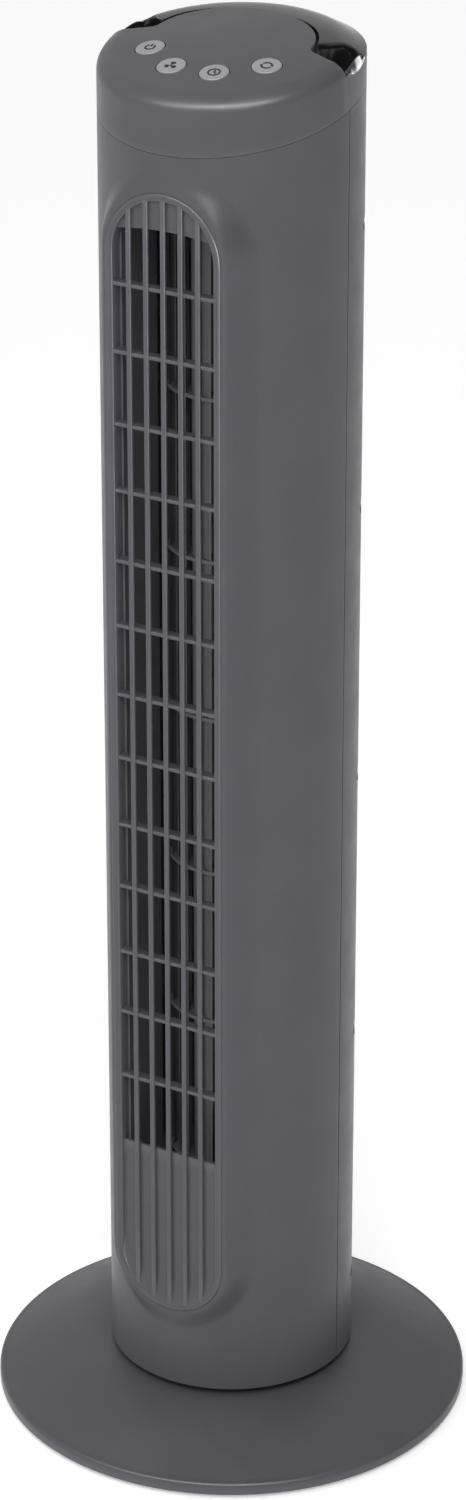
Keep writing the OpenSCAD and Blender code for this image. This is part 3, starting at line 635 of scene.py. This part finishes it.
def grille_border():
    """Frame of the grille: a bead outside, an eased edge inside."""
    bead_r, ease_r = 1.15, 0.8
    bead = arc(GRILLE_HW - bead_r, FACE_Y - bead_r, bead_r, 0, 140, 8)
    ease = arc(INNER_HW + ease_r, BAR_FACE - ease_r, ease_r, 90, 180, 5)
    face = bead + [(GRILLE_HW - 2.5, BAR_FACE - 0.05)] + ease
    return sweep_capsule([(GRILLE_HW, BACK_Y)] + [(x, -y) for x, y in face] + [(INNER_HW, BACK_Y)])


def arc_z(x, hw, top):
    """Where an upright line at x meets the capsule of half width hw."""
    h = math.sqrt(max(hw * hw - x * x, 0))
    return GRILLE_HI - GRILLE_HW + h if top else GRILLE_LO + GRILLE_HW - h


def grille_bars():
    """Upright bars."""
    section = round_rect(BAR_W, BAR_D, 0.6, 5)
    out = []
    for x in BAR_X:
        z0, z1 = arc_z(x, INNER_HW + 1.0, False), arc_z(x, INNER_HW + 1.0, True)
        out.append(loft([[(x + a, -BAR_FACE + BAR_D / 2 + b, z) for a, b in section]
                         for z in np.linspace(z0, z1, 30)]))
    return out


def grille_ribs():
    """Level ribs behind the bars' faces."""
    front = -BAR_FACE + 0.8
    mid = (front + BACK_Y) / 2
    half = INNER_HW + 1.0
    section = round_rect(BACK_Y - front, RIB_T, 0.7, 4)
    out = []
    for i in range(RIBS):
        z = RIB_TOP - RIB_T / 2 - i * RIB_PITCH - RIB_STAGGER * (-1) ** i
        out.append(loft([[(x, mid + a, z + b) for a, b in section]
                         for x in np.linspace(-half, half, 24)]))
    return out


def blank_wall(top):
    """Closed end of the grille behind the bars; the lower one curves out."""
    hw = INNER_HW + 0.6
    xs = np.linspace(-hw + 0.02, hw - 0.02, 61)
    face = -(BAR_FACE - 2.2)
    crown_r = 170  # radius of the upper wall's lower edge
    grid = []
    for t in np.linspace(0, 1, 34):
        row = []
        for x in xs:
            z_end = arc_z(x, hw, top)
            if top:
                z_open = OPEN_HI - crown_r + math.sqrt(crown_r ** 2 - x * x)
                z = z_end + (min(z_open, z_end - 0.3) - z_end) * t
                y = face
            else:
                z = z_end + (OPEN_LO - z_end) * t ** 1.8
                y = face - 2.15 * max(0.0, 1 - (z - z_end) / 15) ** 2
            row.append((x, y, z))
        grid.append(row)
    grid = np.array(grid)
    return thicken(grid, 1.8, False, np.broadcast_to([0.0, -1.0, 0.0], grid.shape))


grille = new_object("outlet_grille_frame", [grille_border()] + grille_bars() + grille_ribs()
                    + [blank_wall(True), blank_wall(False)])
finish_piece(grille, MATS["body_plastic"], "tower", ["outlet_grille"], 40)


# ---------------------------------------------------------------- rear shell
def hole_patch(hole, corner, z_lo, z_hi, counts):
    """Matching loops round a rounded window and round the panel it is cut in,
    both (angle, height); the hole is its half angle and its two heights, and
    z_hi gives the panel's top at an angle."""
    ha, h0, h1 = hole
    ca = corner / BODY_R
    n_side, n_top, n_c = counts

    def corner_pts(a_c, z_c, start):
        turns = [math.radians(start + 45 * i / n_c) for i in range(n_c)]
        return [(a_c + ca * math.cos(t), z_c + corner * math.sin(t)) for t in turns]

    def line(p, q, n):
        return [(p[0] + (q[0] - p[0]) * i / n, p[1] + (q[1] - p[1]) * i / n) for i in range(n)]

    # right, top, left, bottom; each has half a corner at either end
    a, z0, z1 = ha - ca, h0 + corner, h1 - corner
    inner = corner_pts(a, z0, -45) + line((ha, z0), (ha, z1), n_side) + corner_pts(a, z1, 0)
    inner += corner_pts(a, z1, 45) + line((a, h1), (-a, h1), n_top) + corner_pts(-a, z1, 90)
    inner += corner_pts(-a, z1, 135) + line((-ha, z1), (-ha, z0), n_side) + corner_pts(-a, z0, 180)
    inner += corner_pts(-a, z0, 225) + line((-a, h0), (a, h0), n_top) + corner_pts(a, z0, 270)
    ms, mt = n_side + 2 * n_c, n_top + 2 * n_c
    outer = [(AZ_EDGE, i / ms) for i in range(ms)]
    outer += [(AZ_EDGE * (1 - 2 * i / mt), 1.0) for i in range(mt)]
    outer += [(-AZ_EDGE, 1 - i / ms) for i in range(ms)]
    outer += [(-AZ_EDGE * (1 - 2 * i / mt), 0.0) for i in range(mt)]
    return np.array(inner), np.array([(t, z_lo + (z_hi(t) - z_lo) * f) for t, f in outer])


def rear_point(a, z):
    """Angle from the rear centre, positive to +X, to a point on the cylinder."""
    return np.stack([BODY_R * np.sin(a), BODY_R * np.cos(a), z], -1)


def rear_shell():
    """Half cylinder in two patches, each round its window."""
    steps = np.concatenate([[0, 0.02], np.linspace(0.08, 0.95, 11), [1.0]])
    low = hole_patch(INTAKE, 9.0, BODY_LO, lambda a: SPLIT_Z, (110, 52, 4))
    high = hole_patch(WINDOW, 7.0, SPLIT_Z, lambda a: seam(BODY_R * math.cos(a)) - GAP / 2, (12, 52, 4))
    parts = []
    for inner, outer in (low, high):
        rows = [inner + (outer - inner) * t for t in steps]
        p = np.array([rear_point(q[:, 0], q[:, 1]) for q in rows])
        n = p.copy()
        n[:, :, 2] = 0
        n /= np.linalg.norm(n, axis=2, keepdims=True)
        parts.append(thicken(p, WALL, True, n))
    return parts


def without_shared_wall(ob, z):
    """Removes the two coincident inner faces where the patches meet."""
    bm = bmesh.new()
    bm.from_mesh(ob.data)
    bmesh.ops.remove_doubles(bm, verts=bm.verts, dist=1e-6)
    gone = [f for f in bm.faces if all(abs(v.co.z - z * MM) < 1e-6 for v in f.verts)]
    bmesh.ops.delete(bm, geom=gone, context="FACES_ONLY")
    bmesh.ops.recalc_face_normals(bm, faces=bm.faces)
    bm.to_mesh(ob.data)
    bm.free()


rear = new_object("rear_shell", rear_shell())
without_shared_wall(rear, SPLIT_Z)
bevel(rear, 0.6, 3, 55)


def backward_hole(x, y, z, r, depth, n):
    """Cutter for a round hole that runs from (x, y, z) to the back."""
    place = Matrix.Translation((x, y, z)) @ Matrix.Rotation(math.radians(-90), 4, "X")
    return moved(turn([(0, 0), (r, 0), (r, depth), (0, depth)], n), place)


wells = [backward_hole(side * SCREW_X, 9.0, z, SCREW_WELL_R, 50, 40) for side in (-1, 1) for z in SCREW_Z]
cut(rear, wells + [backward_hole(0, 50, GLAND_Z, 7.1, 30, 64)])


def on_cylinder(co, fn):
    """Normal of the tower's cylinder, where a face lies on it."""
    r = math.hypot(co[0], co[1])
    if abs(r - BODY_R) > 0.02:
        return None
    n = np.array([co[0] / r, co[1] / r, 0.0])
    return n if n @ fn > 0.99 else None


finish_piece(rear, MATS["body_plastic"], "tower", ["rear_housing"], 32, on_cylinder)


def well_tubes():
    """Walls and pierced ends of the screw wells inside the rear shell."""
    out = []
    for side in (-1, 1):
        for z in SCREW_Z:
            x = side * SCREW_X

            def circle(r, y=None):
                """Points round the well, at y or on the shell's inside."""
                pts = []
                for i in range(40):
                    t = 2 * math.pi * i / 40
                    px = x + r * math.cos(t)
                    on_shell = math.sqrt(max((BODY_R - 1.2) ** 2 - px * px, 0.0))
                    pts.append((px, on_shell if y is None else y, z + r * math.sin(t)))
                return pts

            rows = [circle(SCREW_TUBE_R, 7.0), circle(SCREW_TUBE_R), circle(SCREW_WELL_R),
                    circle(SCREW_WELL_R, 9.0), circle(SCREW_WELL_R / 2, 9.0), circle(SCREW_WELL_R / 2, 7.0)]
            out.append(loft(rows, True, True, False))
    return out


def intake_slats():
    """Louvres of the air intake, sloping down and out, and their uprights."""
    out = []
    half = INTAKE[0] + 0.035
    louvre = round_rect(5.2, 1.9, 0.8, 3)
    pitch = (INTAKE[2] - INTAKE[1]) / LOUVRES
    c, s = math.cos(LOUVRE_TILT), math.sin(LOUVRE_TILT)
    for i in range(LOUVRES):
        z = INTAKE[1] + pitch * (i + 0.5)
        rows = []
        for a in np.linspace(-half, half, 49):
            section = [(BODY_R - 3.3 + u * c - v * s, z + u * s + v * c) for u, v in louvre]
            rows.append([(r * math.sin(a), r * math.cos(a), h) for r, h in section])
        out.append(loft(rows))
    upright = round_rect(2.6, 6.4, 0.7, 3)
    for x in UPRIGHT_X:
        a = math.asin(x / BODY_R)
        section = [(u, BODY_R - 4.6 + v) for u, v in upright]
        out.append(loft([[(r * math.sin(a) + u * math.cos(a), r * math.cos(a) - u * math.sin(a), z)
                          for u, r in section] for z in np.linspace(INTAKE[1] - 3, INTAKE[2] + 3, 20)]))
    return out


finish_piece(new_object("screw_wells", well_tubes()), MATS["body_plastic"], "tower")
finish_piece(new_object("intake_louvres", intake_slats()), MATS["body_plastic"], "tower")


# ---------------------------------------------------------------- cap
def cap_shell():
    """Panel and front wall of the cap, hollow below, its back edge eased."""
    edge_round, rear_depth = 0.7, 13.5
    back = panel_outline()
    a0 = math.atan2(back[-1][1], back[-1][0]) % (2 * math.pi)
    a1 = math.atan2(back[0][1], back[0][0]) % (2 * math.pi)
    t = np.linspace(a0, a1, 142)[1:-1]
    front = np.stack([BODY_R * np.cos(t), BODY_R * np.sin(t)], 1)
    outline = np.concatenate([back, front])
    nb = len(back)
    n = len(outline)
    tangent = np.roll(outline, -1, 0) - np.roll(outline, 1, 0)
    out = np.stack([tangent[:, 1], -tangent[:, 0]], 1)
    out /= np.linalg.norm(out, axis=1, keepdims=True)
    ease = np.zeros(n)
    ease[1:nb - 1] = edge_round
    inset = outline - out * ease[:, None]
    s_in = np.linspace(0, CREASE_R / BODY_R, 22)
    q = np.sin(np.radians(np.linspace(0, 90, 15)))[1:]
    s_all = np.concatenate([s_in, (CREASE_R + (BODY_R - CREASE_R) * q) / BODY_R])
    rows = []
    for s in s_all:
        xy = inset * s
        rows.append(np.column_stack([xy, cap_top(xy[:, 0], xy[:, 1])]))
    top = cap_top(inset[:, 0], inset[:, 1])
    for a in np.radians([30, 60, 90]):
        xy = inset + out * (ease * math.sin(a))[:, None]
        rows.append(np.column_stack([xy, top - ease * (1 - math.cos(a))]))
    # walls: down to the seam in front, down into the finger holes behind
    foot = np.where(ease > 0, top - rear_depth, seam(outline[:, 1]) + GAP / 2)
    start = rows[-1][:, 2]
    for t in (0.25, 0.5, 0.75, 0.97, 1.0):
        rows.append(np.column_stack([outline, start + (foot - start) * t]))
    inner_wall = outline - out * (WALL - 0.3 * (ease > 0))[:, None]
    rows.append(np.column_stack([inner_wall, foot]))
    under = cap_top(inner_wall[:, 0] * 0.97, inner_wall[:, 1] * 0.97) - SKIN - 1.2
    rows.append(np.column_stack([inner_wall, np.minimum(under, top - SKIN - 1.5)]))
    for s in (0.9, 0.75, 0.5, 0.25, 0.0):
        xy = inner_wall * s
        rows.append(np.column_stack([xy, dome(xy[:, 0], xy[:, 1]) - SKIN]))
    return loft(rows, True, False, False)


def cap_rear_wall():
    """The cap's wall behind the panel, cut down beside the finger holes."""
    inner = BODY_R - WALL + 0.25
    a1 = math.degrees(math.atan2(CORNER_Y, math.sqrt(BODY_R ** 2 - CORNER_Y ** 2)))
    rows = []
    for t in np.radians(np.linspace(a1, 180 - a1, 150)):
        c, s = math.cos(t), math.sin(t)
        y = BODY_R * s
        top = float(lip(y) - facet(y))
        low = seam(y) + GAP / 2
        e = 0.9 * max(0.0, 1 - float(facet(y)))
        prof = [(inner, low), (BODY_R, low), (BODY_R, low + (top - low) * 0.5), (BODY_R, top - e)]
        prof += arc(BODY_R - e, top - e, e, 30, 90, 2)
        prof += [(inner + 0.3, top), (inner, top - 0.3)]
        rows.append([(r * c, r * s, z) for r, z in prof])
    return loft(rows)


def flared_hole(angle):
    """Cutter for a button's hole with a softened upper edge."""
    hole = BUTTON_R + 0.4
    e = 0.45
    flare = [(hole + e - e * math.cos(k), -e + e * math.sin(k)) for k in np.radians([0, 25, 50, 75])]
    prof = [(0, -12), (hole, -12)] + flare + [(hole + e, 0.02), (hole + e, 4), (0, 4)]
    return moved(turn(prof, 72), on_panel(angle))


cap = new_object("cap_shell", [cap_shell()], 1e-6)
cut(cap, [flared_hole(a) for a in BUTTONS.values()])


def on_cap(co, fn):
    """Normal of the dome or of the wall, where a face lies on one; in the
    middle, where the faces are slivers, the dome's."""
    r = math.hypot(co[0], co[1])
    if r < CREASE_R - 0.5 and abs(co[2] - dome(co[0], co[1])) < 0.03:
        n = co - np.array([0, DOME_CY, DOME_CZ])
        n = n / np.linalg.norm(n)
        return n if n @ fn > (0.0 if r < 15 else 0.98) else None
    return on_cylinder(co, fn)


finish_piece(cap, MATS["body_plastic"], "tower", ["top_cap"], 35, on_cap)
finish_piece(new_object("cap_rear_wall", [cap_rear_wall()]), MATS["body_plastic"], "tower",
             (), 35, on_cylinder)


# ---------------------------------------------------------------- handle
# half of the hood's front edge, from the tongue round a finger hole to the rim
HOOD_EDGE = [(45.3, 8.2), (48.0, 10.4), (51.0, 12.8), (53.4, 15.4), (55.2, 18.2), (58.4, 20.0),
             (61.6, 20.2), (64.6, 19.0), (66.2, 17.2)]
SCOOP_LINE = [(45.9, 9.4), (48.4, 11.6), (51.2, 13.8), (53.6, 16.4), (55.8, 19.0), (59.2, 20.4),
              (62.6, 19.6)]
HOOD_TOP = 780  # near the hood's height, so that the exponents below stay small
BLEND = 2.2  # sharpness of the join between the hood's arch and the dome


def handle_height(x, y):
    """Top of the handle: level with the panel's tongue, sloping to a rolled edge."""
    t = np.clip(np.hypot(x, y) / BODY_R, 0, 1)
    rolled = 1.5 * np.sqrt(1 - t ** 30)
    arch = rim_edge(y) + 0.1 + rolled + 8.5 * (1 - t ** 8.56) ** 2.13
    both = np.exp(-BLEND * (arch - HOOD_TOP)) + np.exp(-BLEND * (dome(x, y) - HOOD_TOP))
    return -np.log(both) / BLEND + HOOD_TOP


def along(points, n):
    """n points evenly spaced on a smooth curve through the given ones."""
    p = np.asarray(points, float)
    p = np.concatenate([[2 * p[0] - p[1]], p, [2 * p[-1] - p[-2]]])
    fine = []
    for a, b, c, d in zip(p, p[1:], p[2:], p[3:]):
        for t in np.linspace(0, 1, 20, endpoint=False):
            fine.append(0.5 * (2 * b + (c - a) * t + (2 * a - 5 * b + 4 * c - d) * t ** 2
                               + (3 * b - a - 3 * c + d) * t ** 3))
    fine = np.array(fine + [p[-2]])
    step = np.concatenate([[0], np.cumsum(np.linalg.norm(np.diff(fine, axis=0), axis=1))])
    want = np.linspace(0, step[-1], n)
    return np.stack([np.interp(want, step, fine[:, i]) for i in range(fine.shape[1])], 1)


def handle_hood():
    """The handle's shell: rows from the tongue out to the tower's wall."""
    tongue = panel_outline(1.2)
    inner = tongue[tongue[:, 1] > HOOD_EDGE[0][1]]
    inner[0] = HOOD_EDGE[0]
    inner[-1] = (-HOOD_EDGE[0][0], HOOD_EDGE[0][1])
    a_in = np.arctan2(inner[:, 1], inner[:, 0])
    f = (a_in - a_in[0]) / (a_in[-1] - a_in[0])
    start = math.atan2(HOOD_EDGE[-1][1], HOOD_EDGE[-1][0])
    t = start + (math.pi - 2 * start) * f
    rim = BODY_R - 0.03
    outer = np.stack([rim * np.cos(t), rim * np.sin(t)], 1)
    s = np.sin(np.radians(np.linspace(0, 90, 34)))
    edge = along(HOOD_EDGE[:-1] + [(outer[0][0], outer[0][1])], 200)
    edge = np.stack([np.interp(s, np.linspace(0, 1, 200), edge[:, i]) for i in range(2)], 1)
    # the rows' ends are pulled on to the front edge, and their middles left
    right = np.clip(1 - f / 0.16, 0, 1) ** 2
    left = right[::-1]
    rows = []
    for k, e in zip(s, edge):
        xy = inner + (outer - inner) * k
        shift_r, shift_l = e - xy[0], e * (-1, 1) - xy[-1]
        xy = xy + right[:, None] * shift_r + left[:, None] * shift_l
        rows.append(np.column_stack([xy, handle_height(xy[:, 0], xy[:, 1])]))
    p = np.array(rows)
    n = surface_normals(p, False)
    if n[5, 5, 2] < 0:
        n = -n
    n = n * 0.35 + np.array([0, 0, 0.65])
    outward = np.clip((np.hypot(p[:, :, 0], p[:, :, 1]) - 60) / (rim - 60), 0, 1)[:, :, None]
    radial = p * np.array([1, 1, 0])
    radial /= np.linalg.norm(radial, axis=2, keepdims=True)
    n = n + radial * outward * 0.6
    n /= np.linalg.norm(n, axis=2, keepdims=True)
    return thicken(p, HOOD_T, False, n)


hood = new_object("carry_handle_hood", [handle_hood()])
bevel(hood, 0.5, 3, 50)


def finger_scoop(side):
    """Glossy liner of one finger hole: a leaning wall under the hood's edge."""
    low, n_h = 746.5, 16
    wall = along(SCOOP_LINE, 44)
    rows = []
    for h in np.linspace(0, 1, n_h):
        back = 8.0 * (1 - h) ** 1.4
        row = []
        for x, y in wall:
            top = float(handle_height(x, y)) - HOOD_T + 0.6
            row.append((side * x, y - back, low + (top - low) * h))
        rows.append(row)
    grid = np.array(rows)
    return thicken(grid, 1.0, False, np.broadcast_to([0.0, -1.0, 0.0], grid.shape))


def finger_rim(side):
    """The liner's other part: inside of the rim, and the bevel over its top."""
    low = 748.0
    out_r, in_r = BODY_R - 0.02, BODY_R - WALL - 0.5
    rows = []
    for t in np.radians(np.linspace(-3.2, 21.5, 60)):
        y = BODY_R * math.sin(t)
        top = float(lip(y))
        base_z = float(lip(y) - facet(y)) + 0.03
        share = float(facet(y)) / FACET_MAX
        crest = out_r - 0.35 - 1.5 * share
        prof = [(out_r - 0.9, base_z - 0.6), (out_r, base_z), (out_r - 0.05, base_z + 0.12)]
        for k in (0.25, 0.5, 0.75):
            bulge = 0.25 * share * math.sin(math.pi * k)
            prof.append((out_r + (crest - out_r) * k + bulge,
                         base_z + (top - 0.25 - base_z) * k + bulge))
        prof += [(crest, top - 0.1), (crest - 0.35, top), (in_r + 0.25, top - 0.1), (in_r, top - 0.4),
                 (in_r, low), (in_r + 0.45, low), (in_r + 0.45, base_z - 0.6)]
        rows.append([(side * r * math.cos(t), r * math.sin(t), z) for r, z in prof])
    return loft(rows)


scoops = new_object("finger_hole_liners", [part(side) for side in (-1, 1)
                                           for part in (finger_scoop, finger_rim)])
for piece, stands_for in ((hood, ["carry_handle"]), (scoops, [])):
    finish_piece(piece, MATS["gloss_plastic"], "tower", stands_for, 40)


# ---------------------------------------------------------------- buttons and their icons
def strip(points, width):
    """Flat outline of a stroke of that width along points."""
    p = np.asarray(points, float)
    d = np.gradient(p, axis=0)
    n = np.stack([-d[:, 1], d[:, 0]], 1)
    n /= np.linalg.norm(n, axis=1, keepdims=True)
    return np.concatenate([p + n * width / 2, (p - n * width / 2)[::-1]])


def flat(outline):
    """Thin raised shape on a button's face."""
    return loft([[(x, y, z) for x, y in outline] for z in (ICON_LO, ICON_HI)])


def stroke(points, width):
    """Raised line along points."""
    return flat(strip(points, width))


def ring_arc(r, a0, a1, n=40):
    """Arc round the button's centre."""
    return arc(0.0, 0.0, r, a0, a1, n)


def power_icon():
    """An open ring with a stroke in its gap."""
    return [stroke(ring_arc(2.5, 125, 415), LINE), stroke([(0, 0.7), (0, 1.9), (0, 3.2)], LINE)]


def speed_icon():
    """A fan with three blades."""
    blade = [(0.0, 0.8), (-0.95, 1.5), (-1.5, 2.4), (-1.1, 3.2), (0.1, 3.45), (1.25, 3.1), (1.4, 2.3),
             (0.75, 1.5)]
    parts = [flat(ring_arc(0.62, 0, 345, 23))]
    for k in range(3):
        a = math.radians(90 + 120 * k)
        c, s = math.cos(a), math.sin(a)
        parts.append(flat([(y * c + x * s, y * s - x * c) for x, y in blade]))
    return parts


def timer_icon():
    """A clock."""
    hand = LINE * 0.85
    return [stroke(ring_arc(3.0, 0, 359, 56), LINE), stroke([(0, 1.9), (0, 0.9), (0, -0.1)], hand),
            stroke([(0, 0.0), (0.75, -0.45), (1.5, -0.9)], hand)]


def swing_icon():
    """Two arrows round a ring."""
    r = 2.7
    parts = []
    for k in (0, 180):
        parts.append(stroke(ring_arc(r, 20 + k, 158 + k, 30), LINE))
        a = math.radians(20 + k)
        cx, cy = r * math.cos(a), r * math.sin(a)
        tx, ty = math.sin(a), -math.cos(a)
        nx, ny = math.cos(a), math.sin(a)
        parts.append(flat([(cx + nx * 0.85, cy + ny * 0.85), (cx - nx * 0.85, cy - ny * 0.85),
                           (cx + tx * 1.35, cy + ty * 1.35)]))
    return parts


ICONS = {"power": power_icon, "speed": speed_icon, "timer": timer_icon, "swing": swing_icon}
for key, angle in BUTTONS.items():
    place = on_panel(angle)
    prof = [(0, -6.9), (2.2, -6.9), (2.2, -4.5), (9.0, -4.5), (9.2, -4.3), (9.2, -3.2), (9.0, -3.0),
            (BUTTON_R, -3.0), (BUTTON_R, BUTTON_PROUD - BUTTON_ROUND)]
    prof += [(BUTTON_R - BUTTON_ROUND + BUTTON_ROUND * math.cos(k),
              BUTTON_PROUD - BUTTON_ROUND + BUTTON_ROUND * math.sin(k)) for k in np.radians([22, 45, 67, 90])]
    prof += [(5.5, BUTTON_PROUD - 0.06), (2.5, BUTTON_PROUD - 0.1), (0, BUTTON_PROUD - 0.1)]
    puck = new_object(key + "_button_cap", [moved(turn(prof, 96), place)])
    finish_piece(puck, MATS["button_plastic"], key + "_key", [key + "_button"])
    icon = new_object(key + "_icon", [moved(p, place) for p in ICONS[key]()])
    finish_piece(icon, MATS["icon_ink"], key + "_key")


# ---------------------------------------------------------------- base
def base_height(r):
    """Top of the dish between the rim and the hub."""
    share = (BASE_R - RIM_ROUND - r) / (BASE_R - HUB_R)
    return RIM_Z + (HUB_Z - RIM_Z) * math.sin(math.radians(90 * share))


def base_profile():
    """The dish's section: rounded rim, crown, hub, underside and foot."""
    wall = 2.8
    rim = [(BASE_R - RIM_ROUND + RIM_ROUND * math.cos(t), RIM_Z - RIM_ROUND + RIM_ROUND * math.sin(t))
           for t in np.radians(np.linspace(0, 82, 8))]
    radii = np.linspace(BASE_R - 2.5, HUB_R, 30)
    crown = [(r, base_height(r)) for r in radii]
    hub = [(62, HUB_Z), (40, HUB_Z), (15.2, HUB_Z), (14.4, HUB_Z - 0.6), (14.4, HUB_Z - 3), (62, HUB_Z - 3)]
    under = [(r, base_height(r) - wall) for r in radii[::-1][1:-1]]
    foot = [(BASE_R - 2.6, RIM_Z - 2.6), (BASE_R - 2.6, 2.4), (BASE_R - 2.2, 2.0), (BASE_R - 0.5, 2.0),
            (BASE_R, 2.5)]
    return rim + crown + hub + under + foot


base = new_object("base_dish", [turn(base_profile(), 224)])
finish_piece(base, MATS["body_plastic"], "base", ["base_cover"], 40)


# ---------------------------------------------------------------- cord inlet
def gland():
    """Grommet held in the rear shell by a groove."""
    prof = [(3.6, 0.4), (3.9, 0.0), (6.6, 0.0), (8.2, 0.6), (9.0, 1.8), (9.0, 4.9), (8.5, 5.4), (6.9, 5.4),
            (6.9, 8.9), (8.6, 8.9), (8.6, 10.9), (7.6, 11.8), (3.9, 11.8), (3.6, 11.5)]
    place = Matrix.Translation((0, 74, GLAND_Z)) @ Matrix.Rotation(math.radians(90), 4, "X")
    return moved(turn(prof, 72), place)


finish_piece(new_object("cord_inlet_bush", [gland()]), MATS["rubber"], "tower", ["cord_gland"])


# ---------------------------------------------------------------- carried-over nodes
SLOTS = {s["node"]: s["material_slot"] for s in frame["record"]["subparts"]}
for name, node in frame["nodes"].items():
    if node.hide_render:
        continue
    node.data.materials.clear()
    # the handle's well gets the darker copy, as painted shade in its recess
    node.data.materials.append(MATS["shaded_well_plastic" if name == "handle_well" else SLOTS[name]])


# ---------------------------------------------------------------- stage
FLOOR_HALF = 30.0  # metres
FLOOR_GLOW = 0.38  # keeps the floor near white without hard light
WORLD_LIGHT, WORLD_DARK = 0.72, 0.10
DARK_SIDE = (0.98, 0.17, 0.0)


def floor():
    """Plain pale floor."""
    s = FLOOR_HALF
    me = bpy.data.meshes.new("floor")
    me.from_pydata([(-s, -s, 0), (s, -s, 0), (s, s, 0), (-s, s, 0)], [], [(0, 1, 2, 3)])
    o = bpy.data.objects.new("floor", me)
    bpy.context.scene.collection.objects.link(o)
    mat = bpy.data.materials.new("studio_floor")
    _, b = nodes_of(mat)
    b.inputs["Base Color"].default_value = (0.93, 0.93, 0.935, 1)
    b.inputs["Roughness"].default_value = 0.9
    b.inputs["Specular IOR Level"].default_value = 0.1
    b.inputs["Emission Color"].default_value = (1, 1, 1, 1)
    b.inputs["Emission Strength"].default_value = FLOOR_GLOW
    me.materials.append(mat)


def area_light(name, azimuth, elevation, distance, size, power, target=(0, 0, 0.42)):
    """Rectangular light in metres and watts; azimuth runs from -Y towards +X."""
    data = bpy.data.lights.new(name, "AREA")
    data.shape = "RECTANGLE"
    data.size, data.size_y = size
    data.energy = power
    o = bpy.data.objects.new(name, data)
    o.visible_camera = False
    a, e = math.radians(azimuth), math.radians(elevation)
    back = Vector((math.sin(a) * math.cos(e), -math.cos(a) * math.cos(e), math.sin(e)))
    o.location = Vector(target) + back * distance
    o.rotation_mode = "QUATERNION"
    o.rotation_quaternion = (-back).to_track_quat("-Z", "Y")
    bpy.context.scene.collection.objects.link(o)
    return o


def light_only(light, name, objects):
    """Lets the light fall on these objects alone."""
    only = bpy.data.collections.new(name)
    for o in objects:
        only.objects.link(o)
    light.light_linking.receiver_collection = only
    return only


floor()
area_light("key", 32, 46, 2.8, (1.3, 1.3), 31)
area_light("left_fill", -20, 30, 3.0, (1.6, 1.8), 3)
strip_light = area_light("top_front", 8, 56, 2.4, (3.2, 0.3), 170, (0, 0, 0.75))
edge_light = area_light("grille_edge_light", 66, 8, 2.4, (0.3, 1.6), 260)
rim_light = area_light("handle_rim_light", 160, 6, 2.4, (0.5, 1.0), 12, (0, 0, 0.6))
inner_light = area_light("blower_light", 15, 12, 2.4, (1.0, 1.6), 22)
for light in (strip_light, edge_light):
    light.visible_diffuse = False  # highlights only
light_only(edge_light, "grille_only", [grille])
light_only(rim_light, "handle_only", [hood, scoops])
inside = [frame["nodes"][n] for n in ("blower_wheel", "scroll_guide", "tongue_guide")]
# the grille in front doesn't shade this one
inner_light.light_linking.blocker_collection = light_only(inner_light, "blower_only", inside)

world = bpy.data.worlds.new("studio")
bpy.context.scene.world = world
world.use_nodes = True
nt = world.node_tree
background = nt.nodes["Background"]
background.inputs["Color"].default_value = (1, 1, 1, 1)
side = nt.nodes.new("ShaderNodeVectorMath")
side.operation = "DOT_PRODUCT"
side.inputs[1].default_value = DARK_SIDE
nt.links.new(nt.nodes.new("ShaderNodeTexCoord").outputs["Generated"], side.inputs[0])
nt.links.new(ranged(nt, side.outputs["Value"], WORLD_LIGHT, WORLD_DARK, 0.0, 0.8),
             background.inputs["Strength"])

LENS = 108.0
CAM_PLACE = (1.1066, -1.9167, 1.3975)
CAM_PITCH = 24.446
CAM_YAW = 29.98
cam_data = bpy.data.cameras.new("camera")
cam_data.lens = LENS
cam_data.sensor_width = 36.0
cam_data.clip_start = 0.05
cam_data.clip_end = 100.0
cam = bpy.data.objects.new("camera", cam_data)
cam.location = CAM_PLACE
cam.rotation_euler = (math.radians(90 - CAM_PITCH), 0, math.radians(CAM_YAW))
bpy.context.scene.collection.objects.link(cam)
bpy.context.scene.camera = cam
bpy.context.scene.view_settings.view_transform = "Standard"

bpy.context.view_layer.update()
